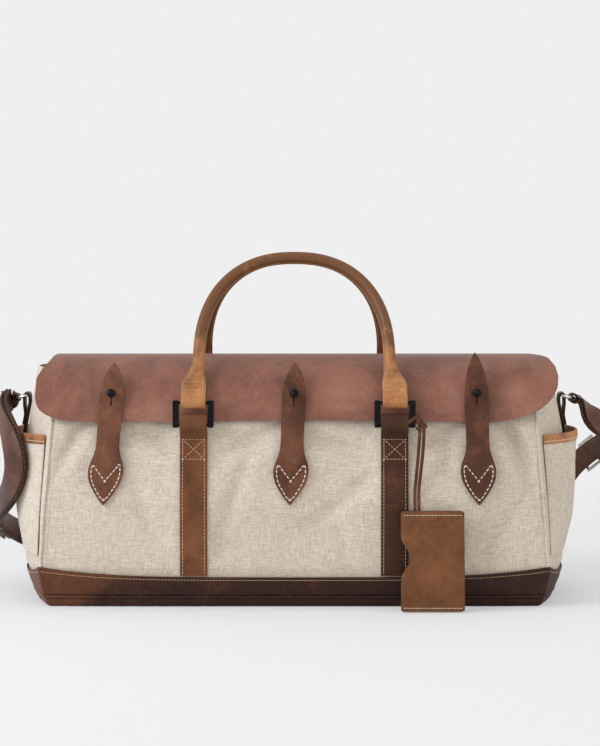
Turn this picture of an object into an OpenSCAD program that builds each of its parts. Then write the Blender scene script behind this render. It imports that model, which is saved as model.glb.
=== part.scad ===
// Canvas and leather duffel bag: a soft linen body on a leather base tub, with a
// full-width leather flap, three stud-and-keyhole tabs, two rolled handles on
// rectangular loops, end pockets, a luggage tag and a shoulder strap.
// Millimetres. Origin: centre of the footprint on the floor. +X right, -Y front, +Z up.

/* [Body] */
// Half the length of the front panel at the base band
seam_half = 261; // [240:1:280]
// Half the depth between the corner seams at the base band
corner_half = 112; // [100:1:120]
// Height of the canvas at the mouth
mouth_z = 245; // [240:1:248]
// Thickness of the canvas
canvas_t = 1.6; // [1:0.1:2]
// Thickness of the lining cloth
lining_t = 0.8; // [0.6:0.1:1]

/* [Leather base] */
// Thickness of the base leather
base_t = 2.2; // [1.6:0.1:2.4]
// Top of the base band at mid length
band_z = 32; // [26:1:40]
// How much higher the band stands at the corners
band_rise = 10; // [0:1:14]
// Height of the piped seam round the base
piping_z = 11; // [11:0.1:11.4]
// Radius of the piping
piping_r = 1.8; // [1.2:0.1:1.8]

/* [Flap] */
// Thickness of the flap leather
flap_t = 2.4; // [2:0.1:2.6]
// Half width of the flap at its front
flap_half = 268; // [262:1:272]
// Half width of the flap where it turns over the top
flap_top_half = 252; // [246:1:258]
// Lower edge of the flap
flap_low_z = 192; // [188:1:194]
// Radius of the flap's lower corners
flap_corner_r = 44; // [30:1:46]

/* [Closure tabs] */
// Distance between neighbouring tabs
tab_pitch = 187; // [180:1:192]
// Width of a tab at its waist
tab_w = 24; // [20:1:26]
// Width of the sewn leaf
leaf_w = 37; // [32:1:40]
// Thickness of the tab leather
tab_t = 3; // [2.4:0.1:3.2]
// Radius of the ball on a closing stud
stud_r = 4.4; // [3.6:0.1:4.6]
// Radius of a stud's neck
stud_neck_r = 2.2; // [1.8:0.1:2.4]

/* [Handles] */
// Distance between the two straps of one handle
strap_pitch = 206; // [196:1:216]
// Width of a handle strap
strap_w = 28; // [24:1:30]
// Thickness of one layer of strap leather
strap_t = 2.2; // [1.8:0.1:2.2]
// Radius of the rolled handle
roll_r = 5.75; // [5:0.25:6.5]
// Radius of the rope in the handle
rope_r = 3.4; // [3:0.1:3.6]
// Lean of the front handle towards the middle
front_lean = 28; // [20:1:28]
// Lean of the back handle towards the middle
back_lean = 28; // [24:1:30]

/* [Luggage tag] */
// Width of the card holder
tag_w = 64; // [58:1:68]
// Height of the card holder
tag_h = 102; // [96:1:104]
// Thickness of one leather panel of the card holder
tag_t = 1.6; // [1.2:0.1:1.8]

/* [Shoulder strap] */
// Width of the shoulder strap
sling_w = 25; // [20:1:28]
// Thickness of the shoulder strap
sling_t = 3.2; // [2.6:0.1:3.6]

/* [Hidden] */
$fn = 48;

canvas_c = [0.83, 0.78, 0.71];
flap_c = [0.55, 0.39, 0.33];
base_c = [0.42, 0.27, 0.18];
strap_c = [0.46, 0.30, 0.20];
tab_c = [0.38, 0.25, 0.19];
roll_c = [0.66, 0.47, 0.31];
tag_c = [0.48, 0.31, 0.18];
sling_c = [0.30, 0.19, 0.15];
black_c = [0.06, 0.06, 0.07];
nickel_c = [0.75, 0.75, 0.76];
gap = 0.3;

// ---------------------------------------------------------------- body surface
// Half length between the corner seams, half depth there, and how far the front
// and the gussets swell beyond the seams, each against height.
function seam_x(z) = seam_half
    + lookup(z, [[0, -9], [12, -5], [42, 0], [90, -3], [185, -11], [245, -16]]);
function seam_y(z) = corner_half
    + lookup(z, [[0, -12], [12, -4], [42, 0], [110, -1], [152, -5], [192, -9], [245, -34]]);
function front_swell(z) = lookup(z, [[0, 2], [42, 8], [110, 11], [152, 9], [192, 5], [245, 4]]);
function end_swell(z) = lookup(z, [[0, 14], [12, 22], [42, 28], [90, 33], [176, 38], [213, 34], [245, 30]]);
function front_y(x, z) = -seam_y(z) - front_swell(z) * (1 - pow(min(1, abs(x) / seam_x(z)), 6));
function end_x(y, z) = seam_x(z) + end_swell(z) * (1 - pow(min(1, abs(y) / seam_y(z)), 2));

// Stations across a panel from seam to seam, closer together near the seams
panel_u = [-1, -0.95, -0.87, -0.75, -0.58, -0.36, -0.12, 0.12, 0.36, 0.58, 0.75, 0.87, 0.95, 1];
gusset_u = [-1, -0.8, -0.55, -0.28, 0, 0.28, 0.55, 0.8, 1];
panel_z = [13, 42, 76, 110, 152, 192, 218, mouth_z];

// Closed outline of the body at one height, pushed outwards by a distance
function outline(z, out) =
    let (kx = 1 + out / seam_x(z), ky = 1 + out / seam_y(z))
    concat(
        [for (u = panel_u) let (x = u * seam_x(z)) [x * kx, front_y(x, z) * ky, z]],
        [for (i = [1 : len(gusset_u) - 2]) let (y = gusset_u[i] * seam_y(z))
            [end_x(y, z) * kx, y * ky, z]],
        [for (i = [len(panel_u) - 1 : -1 : 0]) let (x = panel_u[i] * seam_x(z))
            [x * kx, -front_y(x, z) * ky, z]],
        [for (i = [len(gusset_u) - 2 : -1 : 1]) let (y = gusset_u[i] * seam_y(z))
            [-end_x(y, z) * kx, y * ky, z]]);

// Two triangles that fill a four-cornered patch
function patch(a, b, c, d) = [[a, b, c], [a, c, d]];

// A solid skinned over a stack of closed loops that have the same count of points
module loft(loops) {
    n = len(loops[0]);
    m = len(loops);
    polyhedron(
        points = [for (l = loops) for (p = l) p],
        faces = concat(
            [[for (i = [0 : n - 1]) i]],
            [for (k = [0 : m - 2]) for (i = [0 : n - 1]) let (j = (i + 1) % n)
                each patch(k * n + i, (k + 1) * n + i, (k + 1) * n + j, k * n + j)],
            [[for (i = [n - 1 : -1 : 0]) (m - 1) * n + i]]),
        convexity = 8);
}

// The same with the last loop joined to the first, for a ring or an open tube with a wall
module loft_ring(loops) {
    n = len(loops[0]);
    m = len(loops);
    polyhedron(
        points = [for (l = loops) for (p = l) p],
        faces = [for (k = [0 : m - 1]) for (i = [0 : n - 1]) let (j = (i + 1) % n, q = (k + 1) % m)
            each patch(k * n + i, q * n + i, q * n + j, k * n + j)],
        convexity = 8);
}

// A sheet between two grids of points. Rows run up the sheet and columns across it.
module slab(outer, inner) {
    m = len(outer);
    n = len(outer[0]);
    h = m * n;
    polyhedron(
        points = [for (g = [outer, inner]) for (row = g) for (p = row) p],
        faces = concat(
            [for (k = [0 : m - 2]) for (i = [0 : n - 2]) let (a = k * n + i)
                each concat(patch(a, a + n, a + n + 1, a + 1), patch(h + a, h + a + 1, h + a + n + 1, h + a + n))],
            [for (i = [0 : n - 2]) let (b = (m - 1) * n + i)
                each concat(patch(i, i + 1, h + i + 1, h + i), patch(b + 1, b, h + b, h + b + 1))],
            [for (k = [0 : m - 2]) let (a = k * n, b = k * n + n - 1)
                each concat(patch(a + n, a, h + a, h + a + n), patch(b, b + n, h + b + n, h + b))]),
        convexity = 8);
}

module front_sheet(zs, in_off, out_off, edge) {
    slab(
        [for (z = zs) [for (u = panel_u) let (x = u * (seam_x(z) - edge))
            [x, front_y(x, z) - out_off, z]]],
        [for (z = zs) [for (u = panel_u) let (x = u * (seam_x(z) - edge))
            [x, front_y(x, z) - in_off, z]]]);
}

module end_sheet(zs, in_off, out_off, edge) {
    slab(
        [for (z = zs) [for (u = gusset_u) let (y = u * (seam_y(z) - edge))
            [end_x(y, z) + out_off, y, z]]],
        [for (z = zs) [for (u = gusset_u) let (y = u * (seam_y(z) - edge))
            [end_x(y, z) + in_off, y, z]]]);
}

module panel() {
    color(canvas_c) front_sheet(panel_z, -canvas_t, 0, canvas_t + gap);
}

module gusset() {
    color(canvas_c) end_sheet(panel_z, -canvas_t, 0, 0);
}

module front_panel() { panel(); }
module back_panel() { rotate([0, 0, 180]) panel(); }
module gusset_right() { gusset(); }
module gusset_left() { mirror([1, 0, 0]) gusset(); }

// A tub of cloth hung inside the canvas, open at the mouth
module lining() {
    out = canvas_t + 2 * gap;
    color([0.74, 0.70, 0.62]) loft([
        for (z = [7, 42, 110, 152, 192, mouth_z - 3]) outline(z, -out),
        for (z = [mouth_z - 3, 192, 152, 110, 42, 7 + lining_t]) outline(z, -out - lining_t)]);
}

// ---------------------------------------------------------------- leather base
module base_panel() {
    color(base_c) loft([
        outline_at(0, -9), outline_at(1.2, -4), outline_at(4.5, 0), outline_at(piping_z - piping_r - gap / 2, base_t),
        outline_at(piping_z - piping_r - gap / 2, gap), outline_at(5, -3), outline_at(base_t, -9)]);
}

// The outline of the piped seam, pushed in or out and set at another height
function outline_at(z, out) = [for (p = outline(piping_z, out)) [p.x, p.y, z]];

module base_board() {
    color([0.35, 0.30, 0.25]) translate([0, 0, base_t + gap]) linear_extrude(3)
        polygon([for (p = outline(piping_z, -12)) [p.x, p.y]]);
}

module base_piping() {
    line = outline(piping_z, piping_r + gap);
    n = len(line);
    color(base_c) loft_ring([for (k = [0 : n - 1])
        let (a = line[(k + n - 1) % n], b = line[(k + 1) % n], d = b - a,
            side = [d.y, -d.x, 0] / norm(d))
        [for (i = [0 : 7]) line[k] + piping_r * (cos(i * 45) * side + sin(i * 45) * [0, 0, 1])]]);
}

// The bands lap over the canvas; their upper edge rises towards the corners
function band_top(u) = band_z + band_rise * pow(abs(u), 4);

module band(us, place) {
    low = piping_z + piping_r + gap / 2;
    slab(
        [for (f = [0, 0.5, 1]) [for (u = us) place(u, low + f * (band_top(u) - low), gap + base_t)]],
        [for (f = [0, 0.5, 1]) [for (u = us) place(u, low + f * (band_top(u) - low), gap)]]);
}

module long_band() {
    color(base_c) band(panel_u, function (u, z, out)
        let (x = u * seam_x(z)) [x, front_y(x, z) - out, z]);
}

module end_band() {
    color(base_c) band(gusset_u, function (u, z, out)
        let (y = u * (seam_y(z) - gap))
        [end_x(y, z) + out, y, z]);
}

module base_band_front() { long_band(); }
module base_band_back() { rotate([0, 0, 180]) long_band(); }
module base_band_right() { end_band(); }
module base_band_left() { mirror([1, 0, 0]) end_band(); }

// ---------------------------------------------------------------- end pockets
pocket_low = 52;
pocket_top = 168;
binding_top = 177;
pocket_skin = 1.2;
function pocket_depth(z) = lookup(z, [[pocket_low, 0.6], [80, 6], [130, 11], [binding_top, 13]]);
function pocket_x(u, z, out) = let (y = u * (seam_y(z) - 9))
    [end_x(y, z) + gap + pocket_depth(z) * (1 - pow(abs(u), 4)) + out, y, z];

module pocket() {
    zs = [pocket_low, 80, 104, 130, pocket_top];
    color(canvas_c) slab(
        [for (z = zs) [for (u = gusset_u) pocket_x(u, z, pocket_skin)]],
        [for (z = zs) [for (u = gusset_u) pocket_x(u, z, 0)]]);
}

module pocket_binding() {
    zs = [pocket_top + gap / 2, binding_top];
    color(roll_c) slab(
        [for (z = zs) [for (u = gusset_u) pocket_x(u, z, pocket_skin + 0.8)]],
        [for (z = zs) [for (u = gusset_u) pocket_x(u, z, -0.2)]]);
}

module end_pocket_right() { pocket(); }
module end_pocket_left() { mirror([1, 0, 0]) pocket(); }
module pocket_binding_right() { pocket_binding(); }
module pocket_binding_left() { mirror([1, 0, 0]) pocket_binding(); }

// ---------------------------------------------------------------- handle straps
// Each strap is sewn up the panel, turns over the lower bar of its loop and comes
// back down behind itself to the crossed box of stitches.
bar_r = 1.7;
bar_y = -122.5;
lower_bar_z = 189;
upper_bar_z = 212;
box_low_z = 153;
box_top_z = 176;
loop_gap = 4;
loop_top_z = 201;
function strap_y(z) = front_y(strap_pitch / 2, z) - gap;
function lap_y(z) = strap_y(z) - (z > 150 ? strap_t + 0.1 : 0);
function arc(c, r, from, to) = [for (i = [0 : 12]) let (a = from + (to - from) * i / 12) c + r * [cos(a), sin(a)]];

module handle_strap() {
    r = loop_gap / 2;
    cap = [bar_y, loop_top_z - r - strap_t];
    out_z = lower_bar_z - 3;
    front_zs = [band_z + 1.5, 42, 76, 110, 130, 152, box_top_z];
    color(strap_c) rotate([90, 0, 90]) linear_extrude(strap_w, center = true) polygon(concat(
        [for (z = front_zs) [lap_y(z) - strap_t, z]],
        [[bar_y - r - strap_t, out_z - 1]], arc(cap, r + strap_t, 180, 0),
        [[bar_y + r + strap_t, out_z + 1]],
        [for (z = [box_top_z + 1, box_low_z]) [strap_y(z), z]],
        [for (z = [box_low_z, box_top_z]) [strap_y(z) - strap_t, z]],
        [[bar_y + r, out_z]], arc(cap, r, 0, 180), [[bar_y - r, out_z]],
        [for (i = [len(front_zs) - 1 : -1 : 0]) [lap_y(front_zs[i]), front_zs[i]]]));
}

module front_side(side) { translate([side * strap_pitch / 2, 0, 0]) children(); }
module back_side(side) { rotate([0, 0, 180]) translate([-side * strap_pitch / 2, 0, 0]) children(); }

module strap_front_left() { front_side(-1) handle_strap(); }
module strap_front_right() { front_side(1) handle_strap(); }
module strap_back_left() { back_side(-1) handle_strap(); }
module strap_back_right() { back_side(1) handle_strap(); }

// ---------------------------------------------------------------- rectangular loops
module soft_square(w, h, r) {
    square([w, h - 2 * r], center = true);
    square([w - 2 * r, h], center = true);
    for (i = [-1, 1], j = [-1, 1]) translate([i * (w / 2 - r), j * (h / 2 - r)]) circle(r);
}

// Two round bars where the leather turns, joined by flat cheeks
module square_ring() {
    inner = strap_w / 2 + 0.6;
    cheek_w = 6.4;
    cheek_t = 3;
    for (z = [lower_bar_z, upper_bar_z])
        translate([0, bar_y, z]) rotate([0, 90, 0]) cylinder(r = bar_r, h = 2 * inner + 2, center = true);
    for (s = [-1, 1]) translate([s * (inner + cheek_w / 2), bar_y, (lower_bar_z + upper_bar_z) / 2])
        rotate([90, 0, 0]) linear_extrude(cheek_t, center = true)
            soft_square(cheek_w, upper_bar_z - lower_bar_z + 5, 1.4);
}

module rings_front() { color(black_c) for (s = [-1, 1]) front_side(s) square_ring(); }
module rings_back() { color(black_c) for (s = [-1, 1]) back_side(s) square_ring(); }

// ---------------------------------------------------------------- rolled handles
// The handle is drawn upright over its upper bars and then leaned. Its arch is half a
// slightly squared ellipse that stands on two short legs.
leg_x = strap_pitch / 2 - 4.4;
spring_s = 50;
apex_s = 168;
fold_r = 6;
tongue_t = 4.6;
tongue_s = 13;
roll_sides = 12;
arch_power = 2.3;

// Section of the roll at angle t round the arch, square to the arch
function arch_loop(t, r) =
    let (h = apex_s - spring_s, side = t < 90 ? 1 : -1,
        e = [pow(abs(cos(t)), 2 / arch_power), pow(max(0, sin(t)), 2 / arch_power)],
        c = [side * leg_x * e.x, spring_s + h * e.y],
        n = [side * pow(e.x, arch_power - 1) / leg_x, pow(e.y, arch_power - 1) / h], u = n / norm(n))
    [for (i = [0 : roll_sides - 1]) let (a = i * 360 / roll_sides)
        [c.x + r * cos(a) * u.x, r * sin(a), c.y + r * cos(a) * u.y]];

module arch_tube(r_out, r_in) {
    loft_ring(concat([for (t = [0 : 7.5 : 180]) arch_loop(t, r_out)],
        [for (t = [180 : -7.5 : 0]) arch_loop(t, r_in)]));
}

// The leg flares from the roll down to a flat tongue as wide as the strap.
// Each row: height, distance outwards from the roll's line, half width, half thickness.
flare = [[tongue_s, 4.4, strap_w / 2, tongue_t / 2], [20, 4.4, strap_w / 2, 2.4], [27, 3.2, 11.4, 3.2],
    [35, 1.6, 8, 4.6], [43, 0.5, 6.1, 5.6], [spring_s, 0, roll_r, roll_r]];

module leg() {
    loft([for (f = flare) [for (i = [0 : roll_sides - 1]) let (a = i * 360 / roll_sides)
        [leg_x + f[1] + f[2] * cos(a), f[3] * sin(a), f[0]]]]);
    // the tongue folds round the upper bar
    translate([strap_pitch / 2, 0, 0]) rotate([90, 0, 90]) linear_extrude(strap_w, center = true) difference() {
        union() {
            circle(fold_r);
            polygon([[-5.4, 2.6], [-2.3, tongue_s], [2.3, tongue_s], [5.4, 2.6]]);
        }
        circle(fold_r - tongue_t / 2);
        polygon([[-3.4, 1.2], [-0.3, 10.5], [0.3, 10.5], [3.4, 1.2]]);
    }
}

module on_bars(lean) {
    translate([0, bar_y, upper_bar_z]) rotate([-lean, 0, 0]) children();
}

module handle() {
    color(roll_c) {
        arch_tube(roll_r, rope_r + gap);
        leg();
        mirror([1, 0, 0]) leg();
    }
}

module handle_core() {
    color([0.8, 0.76, 0.66]) loft([for (t = [0.3 : 7.475 : 179.8]) arch_loop(t, rope_r)]);
}

module handle_front() { on_bars(front_lean) handle(); }
module handle_core_front() { on_bars(front_lean) handle_core(); }
module handle_back() { rotate([0, 0, 180]) on_bars(back_lean) handle(); }
module handle_core_back() { rotate([0, 0, 180]) on_bars(back_lean) handle_core(); }

// ---------------------------------------------------------------- flap
hinge_y = 86;
hinge_z = 249;
flap_front_y = -112.4;
ridge_r = 60;
ridge_y = flap_front_y + ridge_r + 1.6;
ridge_z = 258 - ridge_r;

// Outer line of the flap from the hinge forward over the top and down the front,
// pushed inwards by a distance
function flap_line(off) = concat(
    [for (f = [0 : 0.2 : 0.8]) let (y = hinge_y + (ridge_y - hinge_y) * f)
        [y, ridge_z + ridge_r - off - (ridge_z + ridge_r - hinge_z - flap_t / 2) * pow(1 - f, 2)]],
    [for (a = [90 : 9 : 171]) [ridge_y + (ridge_r - off) * cos(a), ridge_z + (ridge_r - off) * sin(a)]],
    [[flap_front_y + off, flap_low_z]]);

// Front outline: rounded lower corners, sides that draw in towards the top
module flap_outline() {
    hull() {
        for (s = [-1, 1]) translate([s * (flap_half - flap_corner_r), flap_low_z + flap_corner_r])
            circle(flap_corner_r, $fn = 64);
        translate([-flap_top_half, 256]) square([2 * flap_top_half, 8]);
    }
}

module flap() {
    color(flap_c) difference() {
        intersection() {
            rotate([90, 0, 90]) linear_extrude(2 * flap_half + 4, center = true) {
                polygon(concat(flap_line(0), [for (i = [len(flap_line(0)) - 1 : -1 : 0]) flap_line(flap_t)[i]]));
                translate([hinge_y, hinge_z]) circle(flap_t / 2);
            }
            translate([0, 130, 0]) rotate([90, 0, 0]) linear_extrude(300) flap_outline();
        }
        for (k = [-1, 0, 1]) stud_axis(k) cylinder(r = stud_neck_r + 0.1, h = 40, center = true);
    }
}

// The same hide runs on below the hinge and is sewn to the back panel
module flap_yoke() {
    top = hinge_z - flap_t / 2 - gap;
    low = 205;
    function y_at(z) = -front_y(0, z) + gap;
    color(flap_c) rotate([90, 0, 90]) linear_extrude(2 * flap_top_half, center = true)
        polygon([[hinge_y - flap_t / 2, top], [y_at(225) + 0.4, 225], [y_at(low), low],
            [y_at(low) + flap_t, low], [y_at(225) + flap_t + 0.4, 225], [hinge_y + flap_t / 2, top]]);
}

// ---------------------------------------------------------------- studs and tabs
stud_z = 221;
tab_low_z = 107;
tab_hinge_z = 152;
tab_tip_z = 254;
tab_lean = 5.2;
function tab_x(k) = k * tab_pitch;
function tab_y(k) = front_y(tab_pitch, tab_hinge_z) - 2.6;

// Frame of a tab: origin on the hinge line, X across, Y up the tab, Z out of its face
module tab_frame(k, lean) {
    translate([tab_x(k), tab_y(k), tab_hinge_z]) rotate([90 - lean, 0, 0]) children();
}

module stud_axis(k) {
    tab_frame(k, tab_lean) translate([0, (stud_z - tab_hinge_z) / cos(tab_lean), 0]) children();
}

// Sam Browne stud: foot behind the flap, neck, and a ball in front of the tab
module stud(k) {
    color(black_c) stud_axis(k) {
        translate([0, 0, -8]) cylinder(r = stud_neck_r, h = 8 + tab_t + stud_r + 1);
        translate([0, 0, tab_t + stud_r + 0.4]) sphere(stud_r);
    }
}

module stud_left() { stud(-1); }
module stud_middle() { stud(0); }
module stud_right() { stud(1); }

// Free part of a tab: parallel strap, pointed tip, keyhole with its slit below
module tab_blade_outline() {
    len_up = (tab_tip_z - tab_hinge_z) / cos(tab_lean);
    difference() {
        intersection() {
            translate([-tab_w / 2 - 2, gap]) square([tab_w + 4, len_up]);
            polygon(concat(
                [for (f = [0 : 0.125 : 1]) [blade_half(f * len_up, len_up), f * len_up]],
                [for (f = [1 : -0.125 : 0]) [-blade_half(f * len_up, len_up), f * len_up]]));
        }
        translate([0, (stud_z - tab_hinge_z) / cos(tab_lean)]) {
            circle(stud_neck_r + 0.9);
            translate([-0.7, -12]) square([1.4, 12]);
        }
    }
}

// Half width against height above the hinge: a little wider at the shoulder, then a point
function blade_half(s, len_up) = s < len_up * 0.6
    ? tab_w / 2 + 0.8 * sin(180 * s / (len_up * 0.6))
    : tab_w / 2 * pow(max(0.0001, (len_up - s) / (len_up * 0.4)), 0.62);

module tab_blade(k) {
    color(tab_c) tab_frame(k, tab_lean) linear_extrude(tab_t) tab_blade_outline();
}

// Sewn part of a tab: a leaf that swells from the waist and ends in a point
function leaf_half(f) = f < 0.48
    ? tab_w / 2 + (leaf_w - tab_w) / 2 * (1 - cos(180 * f / 0.48)) / 2
    : leaf_w / 2 * pow(max(0.0001, (1 - f) / 0.52), 0.72);

module tab_leaf(k) {
    len_down = tab_hinge_z - tab_low_z;
    lean = atan((-front_y(tab_x(k), tab_low_z) + 2 * gap + tab_y(k)) / len_down);
    color(tab_c) tab_frame(k, 0) rotate([-lean, 0, 0]) linear_extrude(tab_t) mirror([0, 1, 0])
        polygon(concat(
            [for (f = [0 : 0.08 : 1.001]) [leaf_half(f), f * len_down]],
            [for (f = [1 : -0.08 : 0]) [-leaf_half(f), f * len_down]]));
}

module tab_leaf_left() { tab_leaf(-1); }
module tab_leaf_middle() { tab_leaf(0); }
module tab_leaf_right() { tab_leaf(1); }
module tab_left() { tab_blade(-1); }
module tab_middle() { tab_blade(0); }
module tab_right() { tab_blade(1); }

// ---------------------------------------------------------------- shoulder strap fixings
sling_ring_z = 212;
sling_wire_r = 1.7;
sling_ring_r = 13;
chape_w = 20;
chape_t = 2.2;
chape_low = 128;
chape_x = end_x(0, sling_ring_z) + 5.6;

module chape() {
    zs = [chape_low, 152, 176, 192];
    lay = gap + chape_t;
    hub = [chape_x, sling_ring_z];
    color(sling_c) rotate([90, 0, 0]) linear_extrude(chape_w, center = true) polygon(concat(
        [for (z = zs) [end_x(0, z) + gap, z]],
        [[chape_x - 4, sling_ring_z - 6]], arc(hub, 4, 180, 0),
        [[chape_x + 4.2, sling_ring_z - 10]],
        [for (z = [192, 180]) [end_x(0, z) + lay + chape_t + 0.3, z]],
        [for (z = [180, 192]) [end_x(0, z) + lay + 0.2, z]],
        [[chape_x + 2, sling_ring_z - 9]], arc(hub, 4 - chape_t, 0, 180),
        [[chape_x - 4 + chape_t, sling_ring_z - 6]],
        [for (i = [len(zs) - 1 : -1 : 0]) [end_x(0, zs[i]) + lay, zs[i]]]));
}

module chape_right() { chape(); }
module chape_left() { mirror([1, 0, 0]) chape(); }

// D ring: its straight side lies in the chape and its bow stands out, a little down
module sling_ring() {
    tilt = -12;
    color(nickel_c) translate([chape_x, 0, sling_ring_z]) rotate([0, -tilt, 0]) {
        rotate([90, 0, 0]) cylinder(r = sling_wire_r, h = 2 * sling_ring_r, center = true);
        rotate([0, 0, -90]) rotate_extrude(angle = 180, $fn = 96) translate([sling_ring_r, 0]) circle(sling_wire_r);
    }
}

module sling_ring_right() { sling_ring(); }
module sling_ring_left() { mirror([1, 0, 0]) sling_ring(); }

// ---------------------------------------------------------------- shoulder strap
// Route of the strap from the right ring by way of the back to the left ring. Each row is
// a point of the centre line and the direction in which the face of the strap looks.
sling_route = [
    [305.5, 0, 207, 10], [314, 3, 193, 12], [327, 8, 182, 15], [340, 20, 174, 12], [348, 36, 167, 3],
    [348, 54, 160, 12], [340, 72, 152, 28], [329, 90, 141, 33], [317, 106, 127, 40], [304, 122, 107, 46],
    [284, 139, 82, 56], [254, 152, 57, 66], [214, 161, 36, 76], [166, 167, 22, 83], [112, 171, 15, 87],
    [56, 173, 14, 90], [0, 173, 14, 90], [-56, 173, 14, 90], [-112, 171, 14, 93], [-166, 167, 15, 97],
    [-214, 160, 20, 104], [-254, 149, 27, 116], [-284, 134, 36, 130], [-304, 114, 46, 146],
    [-316, 88, 57, 163], [-321, 58, 67, 173], [-322, 26, 77, 180], [-317, -8, 87, 192],
    [-308, -40, 99, 205], [-296, -64, 116, 224], [-289, -76, 136, 240], [-289, -77, 154, 240],
    [-294, -68, 171, 230], [-301, -52, 185, 215], [-307, -34, 195, 200], [-309, -16, 202, 186], [-305.5, 0, 207, 172]];

// Strap section: thin along the face's direction, wide across it
module shoulder_strap() {
    n = len(sling_route);
    function at(k) = let (p = sling_route[k]) [p[0], p[1], p[2]];
    color(sling_c) loft([for (k = [0 : n - 1])
        let (d = at(min(n - 1, k + 1)) - at(max(0, k - 1)), t = d / norm(d), f = sling_route[k][3],
            w0 = cross([cos(f), sin(f), 0], t), w = w0 / norm(w0), s = cross(t, w))
        [for (i = [0 : 7]) let (c = i * 45 + 22.5)
            at(k) + 1.082 * (sling_t / 2 * cos(c) * s + sling_w / 2 * sin(c) * w)]]);
}

// A slide buckle lies on the outer face of the strap
module buckle(at, face, slope) {
    color(nickel_c) translate(at) rotate([0, 0, face]) rotate([slope, 0, 0])
        translate([sling_t / 2 + gap + 1, 0, 0]) difference() {
            cube([2, 26, sling_w + 9], center = true);
            cube([3, 20, sling_w + 3], center = true);
        }
}

module strap_buckle_right() { buckle([329, 90, 141], 33, -31); }
module strap_buckle_left() { buckle([-321, 58, 67], 173, 17); }

// ---------------------------------------------------------------- luggage tag
tag_x = 138;
tag_low = 1.4;
tag_low_y = -145;
tag_lean = 8;
lace_w = 4;

// Card holder: two panels sewn along top and bottom, open at the left with a thumb notch
module tag_holder() {
    color(tag_c) translate([tag_x, tag_low_y, tag_low]) rotate([-tag_lean, 0, 0]) rotate([90, 0, 0]) {
        // front panel
        translate([0, 0, tag_t + 1]) linear_extrude(tag_t) difference() {
            translate([-tag_w / 2, 0]) square([tag_w, tag_h]);
            translate([-tag_w / 2 - 9, tag_h * 0.53]) circle(20);
        }
        // back panel, with the hole for the lace
        linear_extrude(tag_t) difference() {
            translate([-tag_w / 2, 0]) square([tag_w, tag_h]);
            translate([-tag_w / 2 - 9, tag_h * 0.53]) circle(20);
        }
        // seam allowances and the fold at the right
        translate([0, 0, tag_t]) linear_extrude(1) {
            translate([-tag_w / 2, 0]) square([tag_w, 4]);
            translate([-tag_w / 2, tag_h - 4]) square([tag_w, 4]);
            translate([tag_w / 2 - 2, 0]) square([2, tag_h]);
        }
    }
}

lace_route = [[130, -124, 190], [130, -126, 178], [129, -128, 160], [127, -130, 140], [125, -131, 122],
    [125, -131.5, 106]];

module tag_lace() {
    n = len(lace_route);
    color(strap_c) loft([for (k = [0 : n - 1])
        let (a = lace_route[max(0, k - 1)], b = lace_route[min(n - 1, k + 1)], t = (b - a) / norm(b - a),
            s0 = cross(t, [0, 1, 0]), s = s0 / norm(s0), w = cross(s, t))
        [for (i = [0 : 7]) let (c = i * 45 + 22.5)
            lace_route[k] + 1.082 * (lace_w * cos(c) * s + lace_w / 2 * sin(c) * w)]]);
}

front_panel();
back_panel();
gusset_left();
gusset_right();
lining();
base_panel();
base_board();
base_piping();
base_band_front();
base_band_back();
base_band_left();
base_band_right();
end_pocket_left();
end_pocket_right();
pocket_binding_left();
pocket_binding_right();
strap_front_left();
strap_front_right();
strap_back_left();
strap_back_right();
rings_front();
rings_back();
handle_front();
handle_back();
handle_core_front();
handle_core_back();
flap_yoke();
flap();
stud_left();
stud_middle();
stud_right();
tab_leaf_left();
tab_leaf_middle();
tab_leaf_right();
tab_left();
tab_middle();
tab_right();
chape_left();
chape_right();
sling_ring_left();
sling_ring_right();
shoulder_strap();
strap_buckle_left();
strap_buckle_right();
tag_holder();
tag_lace();
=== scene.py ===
"""Looks of a canvas and leather duffel bag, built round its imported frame.

The bag stands on a pale studio floor. Each class below is one sub-assembly, with its
sizes in millimetres as fields, a method that builds its meshes and one that sews it.
"""

import logging
import math
from dataclasses import dataclass
from enum import Enum
from typing import Sequence

import bmesh
import bpy
import numpy as np
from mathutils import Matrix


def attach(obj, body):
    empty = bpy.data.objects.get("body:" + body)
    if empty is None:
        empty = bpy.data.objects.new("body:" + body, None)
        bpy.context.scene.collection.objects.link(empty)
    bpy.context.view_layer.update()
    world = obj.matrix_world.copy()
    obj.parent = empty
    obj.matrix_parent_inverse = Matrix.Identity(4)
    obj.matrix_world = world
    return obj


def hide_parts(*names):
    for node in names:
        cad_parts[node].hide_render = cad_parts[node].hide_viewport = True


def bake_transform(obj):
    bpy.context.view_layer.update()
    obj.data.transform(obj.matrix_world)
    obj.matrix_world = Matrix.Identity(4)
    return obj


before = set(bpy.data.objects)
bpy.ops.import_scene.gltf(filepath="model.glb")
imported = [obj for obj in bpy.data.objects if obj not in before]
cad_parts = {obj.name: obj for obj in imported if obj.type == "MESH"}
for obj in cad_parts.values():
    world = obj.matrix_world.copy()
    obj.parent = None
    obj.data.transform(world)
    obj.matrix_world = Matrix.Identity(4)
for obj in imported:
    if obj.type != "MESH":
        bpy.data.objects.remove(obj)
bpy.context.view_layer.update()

log = logging.getLogger("duffel")
MM = 0.001
SIDES = {1: "right", -1: "left"}
FACES = {1: "front", -1: "back"}
CORNERS = ((-1, -1), (-1, 1), (1, -1), (1, 1))
Array = np.ndarray
Number = Array | float
Table = Sequence[tuple[float, float]]
Faces = list[tuple[int, ...]]
Run = tuple[Array, Sequence[float]]
Thing = bpy.types.Object
Material = bpy.types.Material
Tree = bpy.types.NodeTree
Socket = bpy.types.NodeSocket


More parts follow.
